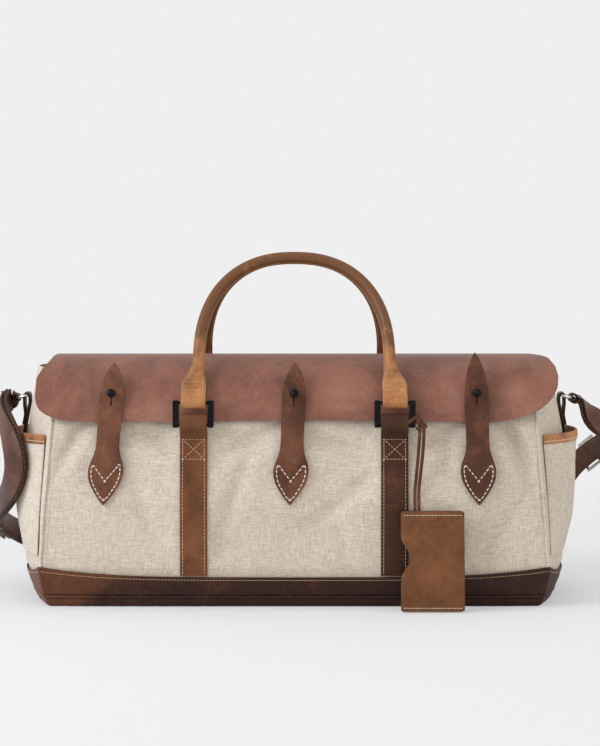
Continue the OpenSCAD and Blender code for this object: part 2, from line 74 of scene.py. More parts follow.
# ---------------------------------------------------------------- meshes
def read(table: Table, at: Number) -> Number:
    """Reads a table of (place, value) rows between its rows.

    Args:
        table: rows sorted by place.
        at: one place or an array of places.

    Returns:
        The value at each place.
    """
    rows = np.array(table, float)
    return np.interp(at, rows[:, 0], rows[:, 1])


def unit(v: Array) -> Array:
    """Vectors of length one, along the last axis."""
    return v / np.maximum(np.linalg.norm(v, axis=-1, keepdims=True), 1e-12)


def points(x: Number, y: Number, z: Number) -> Array:
    """Places from their coordinates, any of which may be one number for all."""
    return np.stack(np.broadcast_arrays(x, y, z), axis=-1).astype(float)


def merged(parts: Sequence[tuple[Array, Faces]]) -> tuple[Array, Faces]:
    """The points and faces of several meshes as those of one."""
    base, faces = 0, []
    for verts, some in parts:
        faces += [tuple(base + i for i in face) for face in some]
        base += len(verts)
    return np.concatenate([verts for verts, _ in parts]), faces


def piece(name: str, verts: Array, faces: Faces, finishes: Sequence[Material],
          marks: Sequence[int] | None = None, crease: float = 38.0, bevel: float = 0.0) -> Thing:
    """Makes an object from points in millimetres.

    Args:
        name: name of the object.
        verts: points, in millimetres, in the row frame.
        faces: corner indices of each face.
        finishes: one or more materials.
        marks: material index of each face, all the first where it is missing.
        crease: angle in degrees above which an edge stays sharp.
        bevel: width in millimetres by which sharp edges are rounded.

    Returns:
        The new object.
    """
    mesh = bpy.data.meshes.new(name)
    mesh.from_pydata((np.asarray(verts, float) * MM).tolist(), [], [tuple(f) for f in faces])
    for finish in finishes:
        mesh.materials.append(finish)
    if marks is not None:
        mesh.polygons.foreach_set("material_index", np.asarray(marks, np.int32))
    work = bmesh.new()
    work.from_mesh(mesh)
    bmesh.ops.remove_doubles(work, verts=work.verts, dist=1e-6)
    bmesh.ops.recalc_face_normals(work, faces=work.faces)
    work.to_mesh(mesh)
    work.free()
    obj = bpy.data.objects.new(name, mesh)
    bpy.context.scene.collection.objects.link(obj)
    if bevel:
        edge = obj.modifiers.new("edge", "BEVEL")
        edge.width = bevel * MM
        edge.segments = 2
        edge.limit_method = "ANGLE"
        edge.angle_limit = math.radians(50)
        settle(obj)
    obj.data.shade_smooth()
    obj.data.set_sharp_from_angle(angle=math.radians(crease))
    return obj


def settle(obj: Thing) -> None:
    """Makes an object's modifiers part of its mesh."""
    graph = bpy.context.evaluated_depsgraph_get()
    done = bpy.data.meshes.new_from_object(obj.evaluated_get(graph))
    obj.modifiers.clear()
    obj.data = done


def skin(loops: Array, ring: bool = False) -> tuple[Array, Faces]:
    """Skins a stack of closed loops that have the same count of points.

    Args:
        loops: array of loops, points and coordinates.
        ring: joins the last loop to the first, in place of two end caps.

    Returns:
        Points and faces, the faces of one loop after the other.
    """
    k, n, _ = loops.shape
    faces = [(a * n + i, a * n + (i + 1) % n, (a + 1) % k * n + (i + 1) % n, (a + 1) % k * n + i)
             for a in range(k if ring else k - 1) for i in range(n)]
    if not ring:
        faces += [tuple(range(n - 1, -1, -1)), tuple((k - 1) * n + i for i in range(n))]
    return loops.reshape(-1, 3), faces


def sheet_solid(outer: Array, inner: Array, closed: bool = False) -> tuple[Array, Faces, list[int]]:
    """Joins two grids of points into a sheet with a rim.

    Args:
        outer: grid of the seen face, rows by columns by coordinates.
        inner: grid of the hidden face.
        closed: the last column meets the first.

    Returns:
        Points, faces and a mark of one for each face of the rim.
    """
    m, n, _ = outer.shape
    h = m * n
    cols = n if closed else n - 1
    faces: Faces = []
    marks: list[int] = []
    for k in range(m - 1):
        for i in range(cols):
            a, b = k * n + i, k * n + (i + 1) % n
            faces += [(a, b, b + n, a + n), (h + a, h + a + n, h + b + n, h + b)]
            marks += [0, 0]
    for i in range(cols):
        j = (i + 1) % n
        low, top = (i, j), ((m - 1) * n + i, (m - 1) * n + j)
        faces += [(low[0], h + low[0], h + low[1], low[1]), (top[0], top[1], h + top[1], h + top[0])]
        marks += [1, 1]
    if not closed:
        for k in range(m - 1):
            a, b = k * n, k * n + n - 1
            faces += [(a, a + n, h + a + n, h + a), (b, h + b, h + b + n, b + n)]
            marks += [1, 1]
    return np.concatenate([outer.reshape(-1, 3), inner.reshape(-1, 3)]), faces, marks


def tangents(path: Array) -> Array:
    """Unit directions along a path of points."""
    return unit(np.gradient(path, axis=0))


def resample(path: Array, step: float) -> Array:
    """The same path with points an even step apart.

    Args:
        path: points with any number of columns, the first three being the place.
        step: distance between the new points, in millimetres.

    Returns:
        The new rows.
    """
    run = np.concatenate([[0.0], np.cumsum(np.linalg.norm(np.diff(path[:, :3], axis=0), axis=1))])
    at = np.linspace(0.0, run[-1], max(3, int(round(run[-1] / step)) + 1))
    return np.stack([np.interp(at, run, path[:, c]) for c in range(path.shape[1])], axis=1)


def rounded(path: Array, passes: int = 2) -> Array:
    """Cuts the corners of a path, and keeps its ends."""
    for _ in range(passes):
        near = 0.75 * path[:-1] + 0.25 * path[1:]
        far = 0.25 * path[:-1] + 0.75 * path[1:]
        inside = np.stack([near, far], axis=1).reshape(-1, path.shape[1])[1:-1]
        path = np.concatenate([path[:1], inside, path[-1:]])
    return path


# The corners of a strap's section that lie on its rim.
STRAP_RIM = {15, 0, 1, 7, 8, 9}


def strap_loops(path: Array, out: Array, width: Number, thick: float) -> Array:
    """Sections of a strap with softened edges, swept along a path.

    Args:
        path: centre line, in millimetres.
        out: the way the face looks, at each point of the path.
        width: width of the strap, one value or one for each point.
        thick: thickness of the leather.

    Returns:
        One loop of sixteen points for each point of the path.
    """
    along = tangents(path)
    across = unit(np.cross(out, along))
    face = np.cross(along, across)
    t = thick / 2
    r = min(0.8 * t, 1.0)
    s = 0.3 * r
    loops = []
    for p, u, f, w in zip(path, across, face, np.broadcast_to(width, (len(path),)) / 2):
        half = [(-w, r - t), (-w, t - r), (s - w, t - s), (r - w, t), (-w / 3, t), (w / 3, t), (w - r, t),
                (w - s, t - s)]
        loops.append([p + a * u + b * f for a, b in half + [(-a, -b) for a, b in half]])
    return np.array(loops)


def strap(name: str, path: Array, out: Array, width: Number, thick: float, stuff: "Stuff") -> Thing:
    """Makes a strap with a burnished rim. The arguments are those of strap_loops, with a finish."""
    verts, faces = skin(strap_loops(path, out, width, thick))
    marks = [int(i in STRAP_RIM) for _ in path[1:] for i in range(16)] + [1, 1]
    return piece(name, verts, faces, of(stuff, Stuff.EDGE), marks, crease=50)


def tube(name: str, path: Array, radius: float, stuff: "Stuff", sides: int = 10, ring: bool = False) -> Thing:
    """Makes a round tube along a path, or along a closed path where ring is set."""
    along = unit(np.roll(path, -1, 0) - np.roll(path, 1, 0)) if ring else tangents(path)
    side = unit(np.cross(along, [0.02, 0.006, 1.0]))
    up = np.cross(side, along)
    turn = np.linspace(0, 2 * np.pi, sides, endpoint=False)[None, :, None]
    loops = path[:, None] + radius * (np.cos(turn) * side[:, None] + np.sin(turn) * up[:, None])
    return piece(name, *skin(loops, ring), of(stuff), crease=60)


@dataclass(frozen=True)
class Thread:
    """Waxed linen thread: pitch and length of its stitches and its radius, in millimetres."""

    pitch: float = 4.4
    length: float = 3.3
    radius: float = 0.55
    swell: Table = ((-0.5, 0.3), (-0.4, 0.85), (0.0, 1.0), (0.4, 0.85), (0.5, 0.3))

    def sew(self, name: str, runs: Sequence[Run], stuff: "Stuff", body: str, slot: str) -> Thing:
        """Lays a row of stitches along each run.

        Args:
            name: name of the piece.
            runs: pairs of a path on a surface and the way the surface looks, at each point or for all.
            stuff: finish of the thread.
            body: body of the frame that the stitches move with.
            slot: material slot of the leather or cloth that is sewn; not used.

        Returns:
            One object with all the stitches.
        """
        turn = np.linspace(0, 2 * np.pi, 6, endpoint=False)
        stitches = []
        for path, out in runs:
            rows = resample(np.concatenate([path, np.broadcast_to(out, path.shape)], axis=1), self.pitch)
            spots, ways = rows[:, :3], unit(rows[:, 3:])
            along = tangents(spots)
            for p, t, u, f in zip(spots, along, unit(np.cross(ways, along)), ways):
                stitches.append(skin(np.array([[
                    p + t * a * self.length + self.radius * b * (math.cos(w) * u + math.sin(w) * f)
                    for w in turn] for a, b in self.swell])))
        return place(piece(name, *merged(stitches), of(stuff), crease=80), body, slot)


# ---------------------------------------------------------------- materials
def linear(code: str) -> tuple[float, float, float, float]:
    """Turns an sRGB hex colour to linear red, green, blue and alpha."""
    parts = [int(code[i:i + 2], 16) / 255 for i in (1, 3, 5)]
    red, green, blue = (c / 12.92 if c <= 0.04045 else ((c + 0.055) / 1.055) ** 2.4 for c in parts)
    return red, green, blue, 1.0


def add(tree: Tree, kind: str, values: dict | None = None, links: dict | None = None,
        **settings: object) -> bpy.types.Node:
    """Adds a node to a material.

    Args:
        tree: node tree of the material.
        kind: Blender's name of the node type.
        values: constants by input name or number.
        links: output sockets by the input they feed.
        **settings: the node's own properties.

    Returns:
        The new node.
    """
    made = tree.nodes.new(kind)
    for key, value in settings.items():
        setattr(made, key, value)
    for key, value in (values or {}).items():
        made.inputs[key].default_value = value
    for key, value in (links or {}).items():
        tree.links.new(value, made.inputs[key])
    return made


def maths(tree: Tree, operation: str, *inputs: float | Socket) -> Socket:
    """The outcome of a sum on numbers and sockets."""
    values = {i: v for i, v in enumerate(inputs) if isinstance(v, float)}
    links = {i: v for i, v in enumerate(inputs) if i not in values}
    return add(tree, "ShaderNodeMath", values, links, operation=operation).outputs["Value"]


def noise(tree: Tree, at: Socket, size_mm: float, **values: float) -> Socket:
    """Cloudy noise from nought to one, with features of a size in millimetres."""
    return add(tree, "ShaderNodeTexNoise", {"Scale": 1000 / size_mm, **values}, {"Vector": at}).outputs["Fac"]


def spread(tree: Tree, value: Socket, low: float, high: float, start: float = 0.0,
           end: float = 1.0) -> Socket:
    """Maps values from start to end onto low to high."""
    values = {"From Min": start, "From Max": end, "To Min": low, "To Max": high}
    return add(tree, "ShaderNodeMapRange", values, {"Value": value}).outputs["Result"]


def ramp(tree: Tree, value: Socket, *stops: tuple[float, str]) -> Socket:
    """The colour for a value, between stops of a value and a hex colour."""
    made = add(tree, "ShaderNodeValToRGB", links={"Fac": value})
    elements = made.color_ramp.elements
    for i, (level, code) in enumerate((stops[0], stops[-1])):
        elements[i].position = level
        elements[i].color = linear(code)
    for level, code in stops[1:-1]:
        elements.new(level).color = linear(code)
    return made.outputs["Color"]


def blank(name: str) -> tuple[Material, Tree, Socket]:
    """A new material with an empty tree, and the object's own coordinates in it."""
    material = bpy.data.materials.new(name)
    material.use_nodes = True
    material.node_tree.nodes.clear()
    at = add(material.node_tree, "ShaderNodeTexCoord").outputs["Object"]
    return material, material.node_tree, at


def close(tree: Tree, colour: Socket, rough: Socket, height: Socket, depth_mm: float,
          **values: float) -> tuple[bpy.types.Node, bpy.types.Node]:
    """Ends a material in a principled shader.

    Args:
        tree: node tree of the material.
        colour: socket of the base colour.
        rough: socket of the roughness.
        height: socket of the surface height, from nought to one.
        depth_mm: what a height of one stands for, in millimetres.
        **values: constants of the shader, with spaces as underscores.

    Returns:
        The shader and the output.
    """
    bump = add(tree, "ShaderNodeBump", {"Strength": 1.0, "Distance": depth_mm * MM}, {"Height": height})
    shader = add(tree, "ShaderNodeBsdfPrincipled", {k.replace("_", " "): v for k, v in values.items()},
                 {"Base Color": colour, "Roughness": rough, "Normal": bump.outputs["Normal"]})
    return shader, add(tree, "ShaderNodeOutputMaterial", links={"Surface": shader.outputs["BSDF"]})


@dataclass(frozen=True)
class Leather:
    """Vegetable-tanned hide: cut, dyed and rubbed with wax.

    The wax gives a soft, low gloss. The fibres take dye unevenly, so tone drifts over a
    few centimetres, and the skin's pores show as a fine pebble. The last field says along which
    axis, from where to where in millimetres and by how much the tone falls. On the flap, base,
    straps and tabs that fall is painted shade: darker away from the light on the left, and on
    the flap darker at its top, which faces up. On the rolled handles it darkens the arch towards its top.
    """

    name: str
    deep: str
    mid: str
    light: str
    pebble_mm: float = 1.6
    cloud_mm: float = 42.0
    rough: float = 0.46
    coat: float = 0.06
    depth_mm: float = 0.12
    tone_fall: tuple[str, float, float, float] = ("X", 0.0, 1.0, 0.0)

    def build(self) -> Material:
        """Makes the material."""
        material, tree, at = blank(self.name)
        cloud = noise(tree, at, self.cloud_mm, Detail=5.0, Roughness=0.62, Distortion=0.6)
        fibre = noise(tree, at, 3 * self.pebble_mm, Detail=4.0, Roughness=0.7)
        pores = add(tree, "ShaderNodeTexVoronoi", {"Scale": 1000 / self.pebble_mm, "Randomness": 1.0},
                    {"Vector": at}, feature="SMOOTH_F1").outputs["Distance"]
        axis, start, end, fall = self.tone_fall
        split = add(tree, "ShaderNodeSeparateXYZ", links={"Vector": at})
        # Tone falls along one axis as the last field sets: painted shade on the flap, base, straps and tabs; on
        # the rolled handles the arch darkens towards its top.
        tone_drop = spread(tree, split.outputs[axis], 0.0, -fall, start * MM, end * MM)
        tone = maths(tree, "MULTIPLY_ADD", fibre, 0.35, maths(tree, "ADD", cloud, tone_drop))
        colour = ramp(tree, tone, (0.42, self.deep), (0.68, self.mid), (0.98, self.light))
        gloss = spread(tree, cloud, self.rough - 0.07, self.rough + 0.1, 0.3, 0.7)
        height = maths(tree, "MULTIPLY_ADD", pores, 0.6, fibre)
        close(tree, colour, gloss, height, self.depth_mm, Coat_Weight=self.coat, Coat_Roughness=0.35, IOR=1.5,
              Specular_IOR_Level=0.26)
        return material


@dataclass(frozen=True)
class Woven:
    """Plain-woven cloth: undyed yarn with slubs, crossed over and under.

    Uneven yarns give short dark and light streaks along both directions, and loose
    fibres give a dull, slightly bright rim. The yarns are far finer than can show, so
    they are drawn about twice as coarse.
    """

    name: str
    shade: str
    mid: str
    bright: str
    yarn_mm: float = 1.0
    slub_mm: float = 6.0
    depth_mm: float = 0.16
    cloud_mm: float = 90

    def build(self) -> Material:
        """Makes the material. Along a wall one yarn follows x and y, the other z."""
        material, tree, at = blank(self.name)
        split = add(tree, "ShaderNodeSeparateXYZ", links={"Vector": at})
        level = maths(tree, "ADD", split.outputs["X"], split.outputs["Y"])
        turns = 2 * math.pi * 1000 / self.yarn_mm
        weave = maths(tree, "MULTIPLY", *(maths(tree, "SINE", maths(tree, "MULTIPLY", along, turns))
                                          for along in (level, split.outputs["Z"])))
        thin, long = 1000 / (1.6 * self.yarn_mm), 1000 / self.slub_mm
        streaks = []
        for pull in ((thin, thin, long), (long, long, thin)):
            pulled = add(tree, "ShaderNodeMapping", {"Scale": pull}, {"Vector": at}).outputs["Vector"]
            streaks.append(noise(tree, pulled, 1000, Detail=3.0, Roughness=0.6))
        slub = maths(tree, "ADD", *streaks)
        cloud = noise(tree, at, self.cloud_mm, Detail=3.0)
        tone = maths(tree, "MULTIPLY_ADD", slub, 0.5, spread(tree, cloud, -0.06, 0.06))
        colour = ramp(tree, tone, (0.36, self.shade), (0.5, self.mid), (0.64, self.bright))
        height = maths(tree, "MULTIPLY_ADD", weave, 0.45, slub)
        close(tree, colour, spread(tree, cloud, 0.84, 0.96), height, self.depth_mm, Sheen_Weight=0.25,
              Sheen_Roughness=0.5)
        return material


@dataclass(frozen=True)
class Metal:
    """Steel: cast or drawn, then plated or blackened, with faint rubbing marks in its gloss."""

    name: str
    colour: str
    rubbed: str
    metallic: float
    rough: float
    mark_mm: float = 2.5

    def build(self) -> Material:
        """Makes the material."""
        material, tree, at = blank(self.name)
        marks = noise(tree, at, self.mark_mm, Detail=5.0, Roughness=0.65)
        colour = ramp(tree, marks, (0.35, self.colour), (0.8, self.rubbed))
        gloss = spread(tree, marks, self.rough - 0.06, self.rough + 0.1)
        close(tree, colour, gloss, marks, 0.02, Metallic=self.metallic)
        return material


@dataclass(frozen=True)
class Fibrous:
    """Twisted thread, rope or pressed board: fibres laid one way, dull and a little mottled."""

    name: str
    dark: str
    pale: str
    fibre_mm: float
    rough: float = 0.75

    def build(self) -> Material:
        """Makes the material."""
        material, tree, at = blank(self.name)
        twist = noise(tree, at, self.fibre_mm, Detail=3.0, Distortion=1.2)
        colour = ramp(tree, twist, (0.3, self.dark), (0.7, self.pale))
        gloss = spread(tree, twist, self.rough - 0.08, self.rough + 0.08)
        close(tree, colour, gloss, twist, 0.08)
        return material


class Stuff(Enum):
    """Every finish on the bag, by what it is made of."""

    LINEN = Woven("linen_canvas", "#b7a794", "#cdbda9", "#dfd0bd", yarn_mm=0.75, slub_mm=9)
    COTTON = Woven("cotton_lining", "#a89a85", "#c4b7a2", "#d8cdbb", yarn_mm=0.9, slub_mm=4)
    # The flap's tone falls from z 222 to 262 mm: painted shade at its top, where it turns over and faces up.
    FLAP = Leather("smooth_hide_flap", "#6a4336", "#8a5b49", "#a27664", pebble_mm=1.3, cloud_mm=80,
                   rough=0.44, coat=0.08, tone_fall=("Z", 222, 262, 0.2))
    # The base's tone falls from x -240 to -40 mm: painted shade, lighter at the left where the light comes from.
    BASE = Leather("waxed_hide_base", "#2f1307", "#61351b", "#8f5a38", cloud_mm=110, rough=0.5,
                   tone_fall=("X", -240, -40, 0.36))
    # The straps' tone falls from x -60 to 90 mm: painted shade, the right straps darker as if away from the light
    # on the left.
    STRAP = Leather("strap_leather", "#3d1f0d", "#683b1d", "#80502f", cloud_mm=60, rough=0.52,
                    tone_fall=("X", -60, 90, 0.3))
    # The tabs' tone falls from x -260 to 130 mm: painted shade, lighter to the left where the light comes from;
    # the lace shares it.
    TAB = Leather("bridle_leather_tab", "#492818", "#6e422b", "#94664a", cloud_mm=40, rough=0.46,
                  tone_fall=("X", -260, 130, 0.2))
    ROLL = Leather("rolled_natural_hide", "#6b4426", "#a87043", "#c08e62", cloud_mm=34, rough=0.48,
                   tone_fall=("Z", 222, 290, 0.34))
    TAG = Leather("pull_up_leather_tag", "#502b13", "#6a3f1e", "#805230", cloud_mm=34, rough=0.5)
    SLING = Leather("oiled_bridle_leather", "#36211a", "#543529", "#735145", cloud_mm=38, rough=0.42)
    EDGE = Leather("burnished_edge", "#22140c", "#33200f", "#4a2f1c", cloud_mm=12, rough=0.55, depth_mm=0.05)
    BLACK = Metal("blackened_steel", "#0b0b0d", "#2a2a2c", 0.85, 0.36)
    NICKEL = Metal("nickel_plated_steel", "#b9b4aa", "#d8d3c9", 1.0, 0.24)
    THREAD = Fibrous("waxed_linen_thread", "#cfc0a4", "#efe5d0", 0.7, 0.6)
    TAN_THREAD = Fibrous("golden_linen_thread", "#a98458", "#d2b184", 0.7, 0.6)
    ROPE = Fibrous("cotton_rope", "#b5a688", "#ddd0b4", 2.0, 0.85)
    BOARD = Fibrous("pressed_fibre_board", "#3a3128", "#55493c", 1.5, 0.9)


MADE: dict[Stuff, Material] = {}


def of(*stuffs: Stuff) -> list[Material]:
    """The material of each finish, made the first time it is asked for."""
    for stuff in stuffs:
        if stuff not in MADE:
            MADE[stuff] = stuff.value.build()
    return [MADE[stuff] for stuff in stuffs]


def dress(node: str, stuff: Stuff) -> None:
    """Gives a carried-over node its finish."""
    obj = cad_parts[node]
    obj.data.materials.clear()
    obj.data.materials.append(of(stuff)[0])
    log.info("%s keeps its shape, in %s", node, stuff.value.name)


def place(obj: Thing, body: str, slot: str, *nodes: str) -> Thing:
    """Lets a piece move with a body and hides the nodes it stands for."""
    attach(obj, body)
    if nodes:
        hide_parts(*nodes)
    log.info("%s rides on %s", obj.name, body)
    return obj


# ---------------------------------------------------------------- body form
@dataclass(frozen=True)
class Form:
    """The filled canvas body: where its seams, front and ends lie at each height."""

    seam_half: float = 261
    corner_half: float = 112
    fold_width: float = 8
    fold_gain: float = 1.5
    # Where each fold of the front lies, its lean, its reach and its depth.
    folds: Sequence[tuple[float, ...]] = (
        (222, 176, 0.55, 40, 6.5), (236, 150, 0.3, 40, 3.4), (150, 176, -1.0, 30, 4.2),
        (160, 146, 0.5, 28, 3.0), (138, 120, -0.5, 36, 2.6), (48, 166, 1.2, 38, 4.2), (62, 120, -0.9, 46, 2.8),
        (-46, 172, -1.1, 36, 4.0), (-60, 118, -0.35, 50, 2.8), (-142, 174, 1.2, 30, 3.8),
        (-150, 92, 0.5, 40, 2.4), (-226, 172, -0.5, 36, 4.2), (-70, 62, 0.9, 40, 2.2),
        (215, 80, -0.6, 44, 2.6), (52, 66, 0.3, 34, 2.2))
    # Middle, half width, foot and top of what is sewn on: the straps, the outer leaves and the middle leaf.
    sewn: Sequence[tuple[float, ...]] = ((103, 21, 20, 186), (187, 22, 98, 160), (0, 22, 98, 160))

    def seam_x(self, z: Number) -> Number:
        """Half the length between the corner seams."""
        return self.seam_half + read([(0, -9), (12, -5), (42, 0), (90, -3), (185, -11), (245, -16)], z)

    def seam_y(self, z: Number) -> Number:
        """Half the depth between the corner seams."""
        rows = [(0, -12), (12, -4), (42, 0), (110, -1), (152, -5), (192, -9), (245, -34)]
        return self.corner_half + read(rows, z)

    def front_y(self, x: Number, z: Number) -> Number:
        """Where the front lies."""
        swell = read([(0, 2), (42, 8), (110, 11), (152, 9), (192, 5), (245, 4)], z)
        return -self.seam_y(z) - swell * (1 - np.minimum(1, np.abs(x) / self.seam_x(z)) ** 6)

    def end_x(self, y: Number, z: Number) -> Number:
        """Where the right end lies."""
        swell = read([(0, 14), (12, 22), (42, 28), (90, 33), (176, 38), (213, 34), (245, 30)], z)
        return self.seam_x(z) + swell * (1 - np.minimum(1, np.abs(y) / self.seam_y(z)) ** 2)

    def slack(self, a: Array, z: float, phase: float) -> Array:
        """How far the cloth falls in between what holds it, in millimetres.

        Args:
            a: distance along the wall.
            z: height.
            phase: shifts the folds, so that no two walls are alike.

        Returns:
            Depth inwards, never below nought.
        """
        drift = a + 9 * np.sin(z / 31 + phase)
        broad = 0.5 + 0.5 * np.sin(drift / 37 + 1.7 * np.sin(z / 53 + phase) + phase)
        fine = 0.5 + 0.5 * np.sin(drift / 14.5 - z / 47 + 2.3 * phase)
        pucker = 0.5 + 0.5 * np.sin(a / 3.1 + 1.4 * np.sin(a / 17 + phase))
        pucker = pucker * np.exp(-np.maximum(0, z - 34) / 15)
        tall = np.clip((z - 30) / 40, 0, 1) * np.clip((250 - z) / 40, 0.3, 1)
        return 2.5 * broad * tall + 1.1 * fine * tall + 0.8 * pucker

    def held(self, x: Array, z: float) -> Array:
        """From nought where a strap or tab is sewn on to one where the cloth is free."""
        free = np.ones_like(x)
        for centre, width, low, high in self.sewn:
            near = np.exp(-(((np.abs(x) - centre) / width) ** 4)) * np.clip((z - low + 14) / 14, 0, 1)
            free = free * (1 - near * np.clip((high + 14 - z) / 14, 0, 1))
        return free

    def crease(self, x: Array, z: float) -> Array:
        """Soft folds that the load pulls into the front."""
        depth = np.zeros_like(x)
        for x0, z0, lean, reach, deep in self.folds:
            across = (x - x0) * math.cos(lean) + (z - z0) * math.sin(lean)
            along = -(x - x0) * math.sin(lean) + (z - z0) * math.cos(lean)
            fall = np.exp(-((across / self.fold_width) ** 2) - (along / reach) ** 2)
            depth = depth + self.fold_gain * deep * fall
        return depth * self.held(x, z)

    def ring(self, z: float, off: float, long_n: int = 150, end_n: int = 46) -> Array:
        """The closed outline at one height, pushed outwards, with the cloth's slack in it.

        Args:
            z: height.
            off: distance outwards from the tight form.
            long_n: points along each long side.
            end_n: points along each end.

        Returns:
            Points counter-clockwise from the front left corner.
        """
        bend = 0.92 * np.pi / 2
        u = np.sin(np.linspace(-1, 1, long_n) * bend) / math.sin(bend)
        v = np.linspace(-1, 1, end_n + 2)[1:-1]
        x = u * self.seam_x(z)
        y = v * self.seam_y(z)
        free = self.held(x, z) * (1 - np.abs(u) ** 10)
        front_y = self.front_y(x, z) - off
        wide = x * (1 + off / self.seam_half)
        front = points(wide, front_y + self.slack(x, z, 0.4) * free + self.crease(x, z), z)
        back = points(wide, -front_y - self.slack(-x, z, 2.1) * free, z)
        sides = []
        for side, phase in ((1, 3.3), (-1, 5.2)):
            sag = 0.9 * self.slack(y * side, z, phase) * (1 - np.abs(v) ** 10)
            sides.append(points(side * (self.end_x(y, z) + off - sag), y * (1 + off / self.corner_half), z))
        return np.concatenate([front, sides[0], back[::-1], sides[1][::-1]])


FORM = Form()


# ---------------------------------------------------------------- camera
@dataclass(frozen=True)
class Studio:
    """Pale floor that fades into a pale room, a broad light from the left, and two weaker ones."""

    distance: float = 2.3
    eye: float = 0.36
    aside: float = 0.006
    tilt: float = 3.09
    lens: float = 103.2
    ambient: float = 0.72
    backdrop: float = 0.863
    aim_z: float = 0.15
    # Name, place in metres, size in metres, watts and colour of each light.
    lights: Sequence[tuple] = (("key", (-2.0, -1.1, 1.5), 1.3, 50, "#eaf1ff"),
                               ("top", (0.2, 0.3, 2.2), 1.8, 5, "#fffdf8"),
                               ("fill", (1.9, -1.4, 1.0), 1.6, 12, "#ffffff"))

    def camera(self) -> None:
        """Sets the camera in front of the bag, a little above its handles."""
        data = bpy.data.cameras.new("camera")
        data.lens = self.lens
        data.sensor_width = 36
        data.clip_end = 20
        obj = bpy.data.objects.new("camera", data)
        obj.location = (self.aside, -self.distance, self.eye)
        obj.rotation_euler = (math.radians(90 - self.tilt), 0, 0)
        bpy.context.scene.collection.objects.link(obj)
        bpy.context.scene.camera = obj

    def light(self, name: str, spot: Sequence[float], size: float, watts: float, colour: str) -> None:
        """Adds a square light that looks at the middle of the bag."""
        data = bpy.data.lights.new(name, "AREA")
        data.size = size
        data.energy = watts
        data.color = linear(colour)[:3]
        obj = bpy.data.objects.new(name, data)
        obj.location = spot
        x, y, z = np.array([0, 0, self.aim_z]) - spot
        obj.rotation_euler = (math.atan2(math.hypot(x, y), -z), 0, math.atan2(-x, y))
        bpy.context.scene.collection.objects.link(obj)

    def room(self) -> None:
        """Makes the pale surroundings, a little brighter where the camera sees them."""
        world = bpy.data.worlds.new("room")
        world.use_nodes = True
        tree = world.node_tree
        sky = tree.nodes["Background"]
        sky.inputs["Color"].default_value = linear("#ffffff")
        seen = add(tree, "ShaderNodeLightPath").outputs["Is Camera Ray"]
        tree.links.new(spread(tree, seen, self.ambient, self.backdrop), sky.inputs["Strength"])
        bpy.context.scene.world = world
        bpy.context.scene.view_settings.view_transform = "Standard"

    def floor(self) -> None:
        """Lays the floor, which fades out with distance where the camera sees it."""
        material, tree, at = blank("painted_floor")
        speck = noise(tree, at, 25)
        colour = ramp(tree, speck, (0.0, "#dcdcdc"), (1.0, "#e0e0e0"))
        shader, last = close(tree, colour, spread(tree, speck, 0.85, 0.95), speck, 0.01)
        away = add(tree, "ShaderNodeVectorMath", links={0: at}, operation="LENGTH").outputs["Value"]
        seen = add(tree, "ShaderNodeLightPath").outputs["Is Camera Ray"]
        thin = maths(tree, "MULTIPLY", spread(tree, away, 0.4, 1.0, 0.3, 1.3), seen)
        clear = add(tree, "ShaderNodeBsdfTransparent").outputs["BSDF"]
        mix = add(tree, "ShaderNodeMixShader", links={0: thin, 1: shader.outputs["BSDF"], 2: clear})
        tree.links.new(mix.outputs["Shader"], last.inputs["Surface"])
        run = points(np.array([-8000, 8000, 8000, -8000]), np.array([-4000, -4000, 8000, 8000]), 0)
        piece("floor", run, [(0, 1, 2, 3)], [material])

    def build(self) -> None:
        """Lights the room and lays the floor."""
        for light in self.lights:
            self.light(*light)
        self.room()
        self.floor()


# ---------------------------------------------------------------- cords
SLING_ROUTE = [
    [305.5, 0, 207, 4], [314, 3, 193, -20], [327, 8, 182, -46], [340, 20, 174, -52], [348, 36, 167, -34],
    [348, 54, 160, -6], [340, 72, 152, 20], [329, 90, 141, 33], [317, 106, 127, 40], [304, 122, 107, 46],
    [284, 139, 82, 56], [254, 152, 57, 66], [214, 161, 36, 76], [166, 167, 22, 83], [112, 171, 15, 87],
    [56, 173, 14, 90], [0, 173, 14, 90], [-56, 173, 14, 90], [-112, 171, 14, 93], [-166, 167, 15, 97],
    [-214, 160, 20, 104], [-254, 149, 27, 116], [-284, 134, 36, 130], [-304, 114, 46, 146],
    [-316, 88, 57, 163], [-321, 58, 67, 173], [-322, 26, 77, 180], [-317, -8, 87, 192],
    [-308, -40, 99, 205], [-296, -64, 116, 224], [-289, -76, 136, 240], [-289, -77, 154, 240],
    [-294, -68, 171, 230], [-301, -52, 185, 215], [-307, -34, 195, 200], [-309, -16, 202, 186],
    [-305.5, 0, 207, 172]]
LACE_ROUTE = [[130, -124, 190], [130, -126, 178], [129, -128, 160], [127, -130, 140], [125, -131, 122],
              [125, -131.5, 106], [125, -129.2, 96]]


def spline(rows: Array, step: float) -> Array:
    """A smooth curve through rows of numbers, at an even step. The first three columns are the place.

    Args:
        rows: points and further columns that change along the curve.
        step: distance between the new rows, in millimetres.

    Returns:
        The new rows.
    """
    p = np.concatenate([[2 * rows[0] - rows[1]], rows, [2 * rows[-1] - rows[-2]]])
    out = []
    for i in range(1, len(p) - 2):
        for f in np.linspace(0, 1, 12, endpoint=False):
            out.append(0.5 * (2 * p[i] + (p[i + 1] - p[i - 1]) * f
                              + (2 * p[i - 1] - 5 * p[i] + 4 * p[i + 1] - p[i + 2]) * f ** 2
                              + (3 * p[i] - p[i - 1] - 3 * p[i + 1] + p[i + 2]) * f ** 3))
    out.append(rows[-1])
    return resample(np.array(out), step)


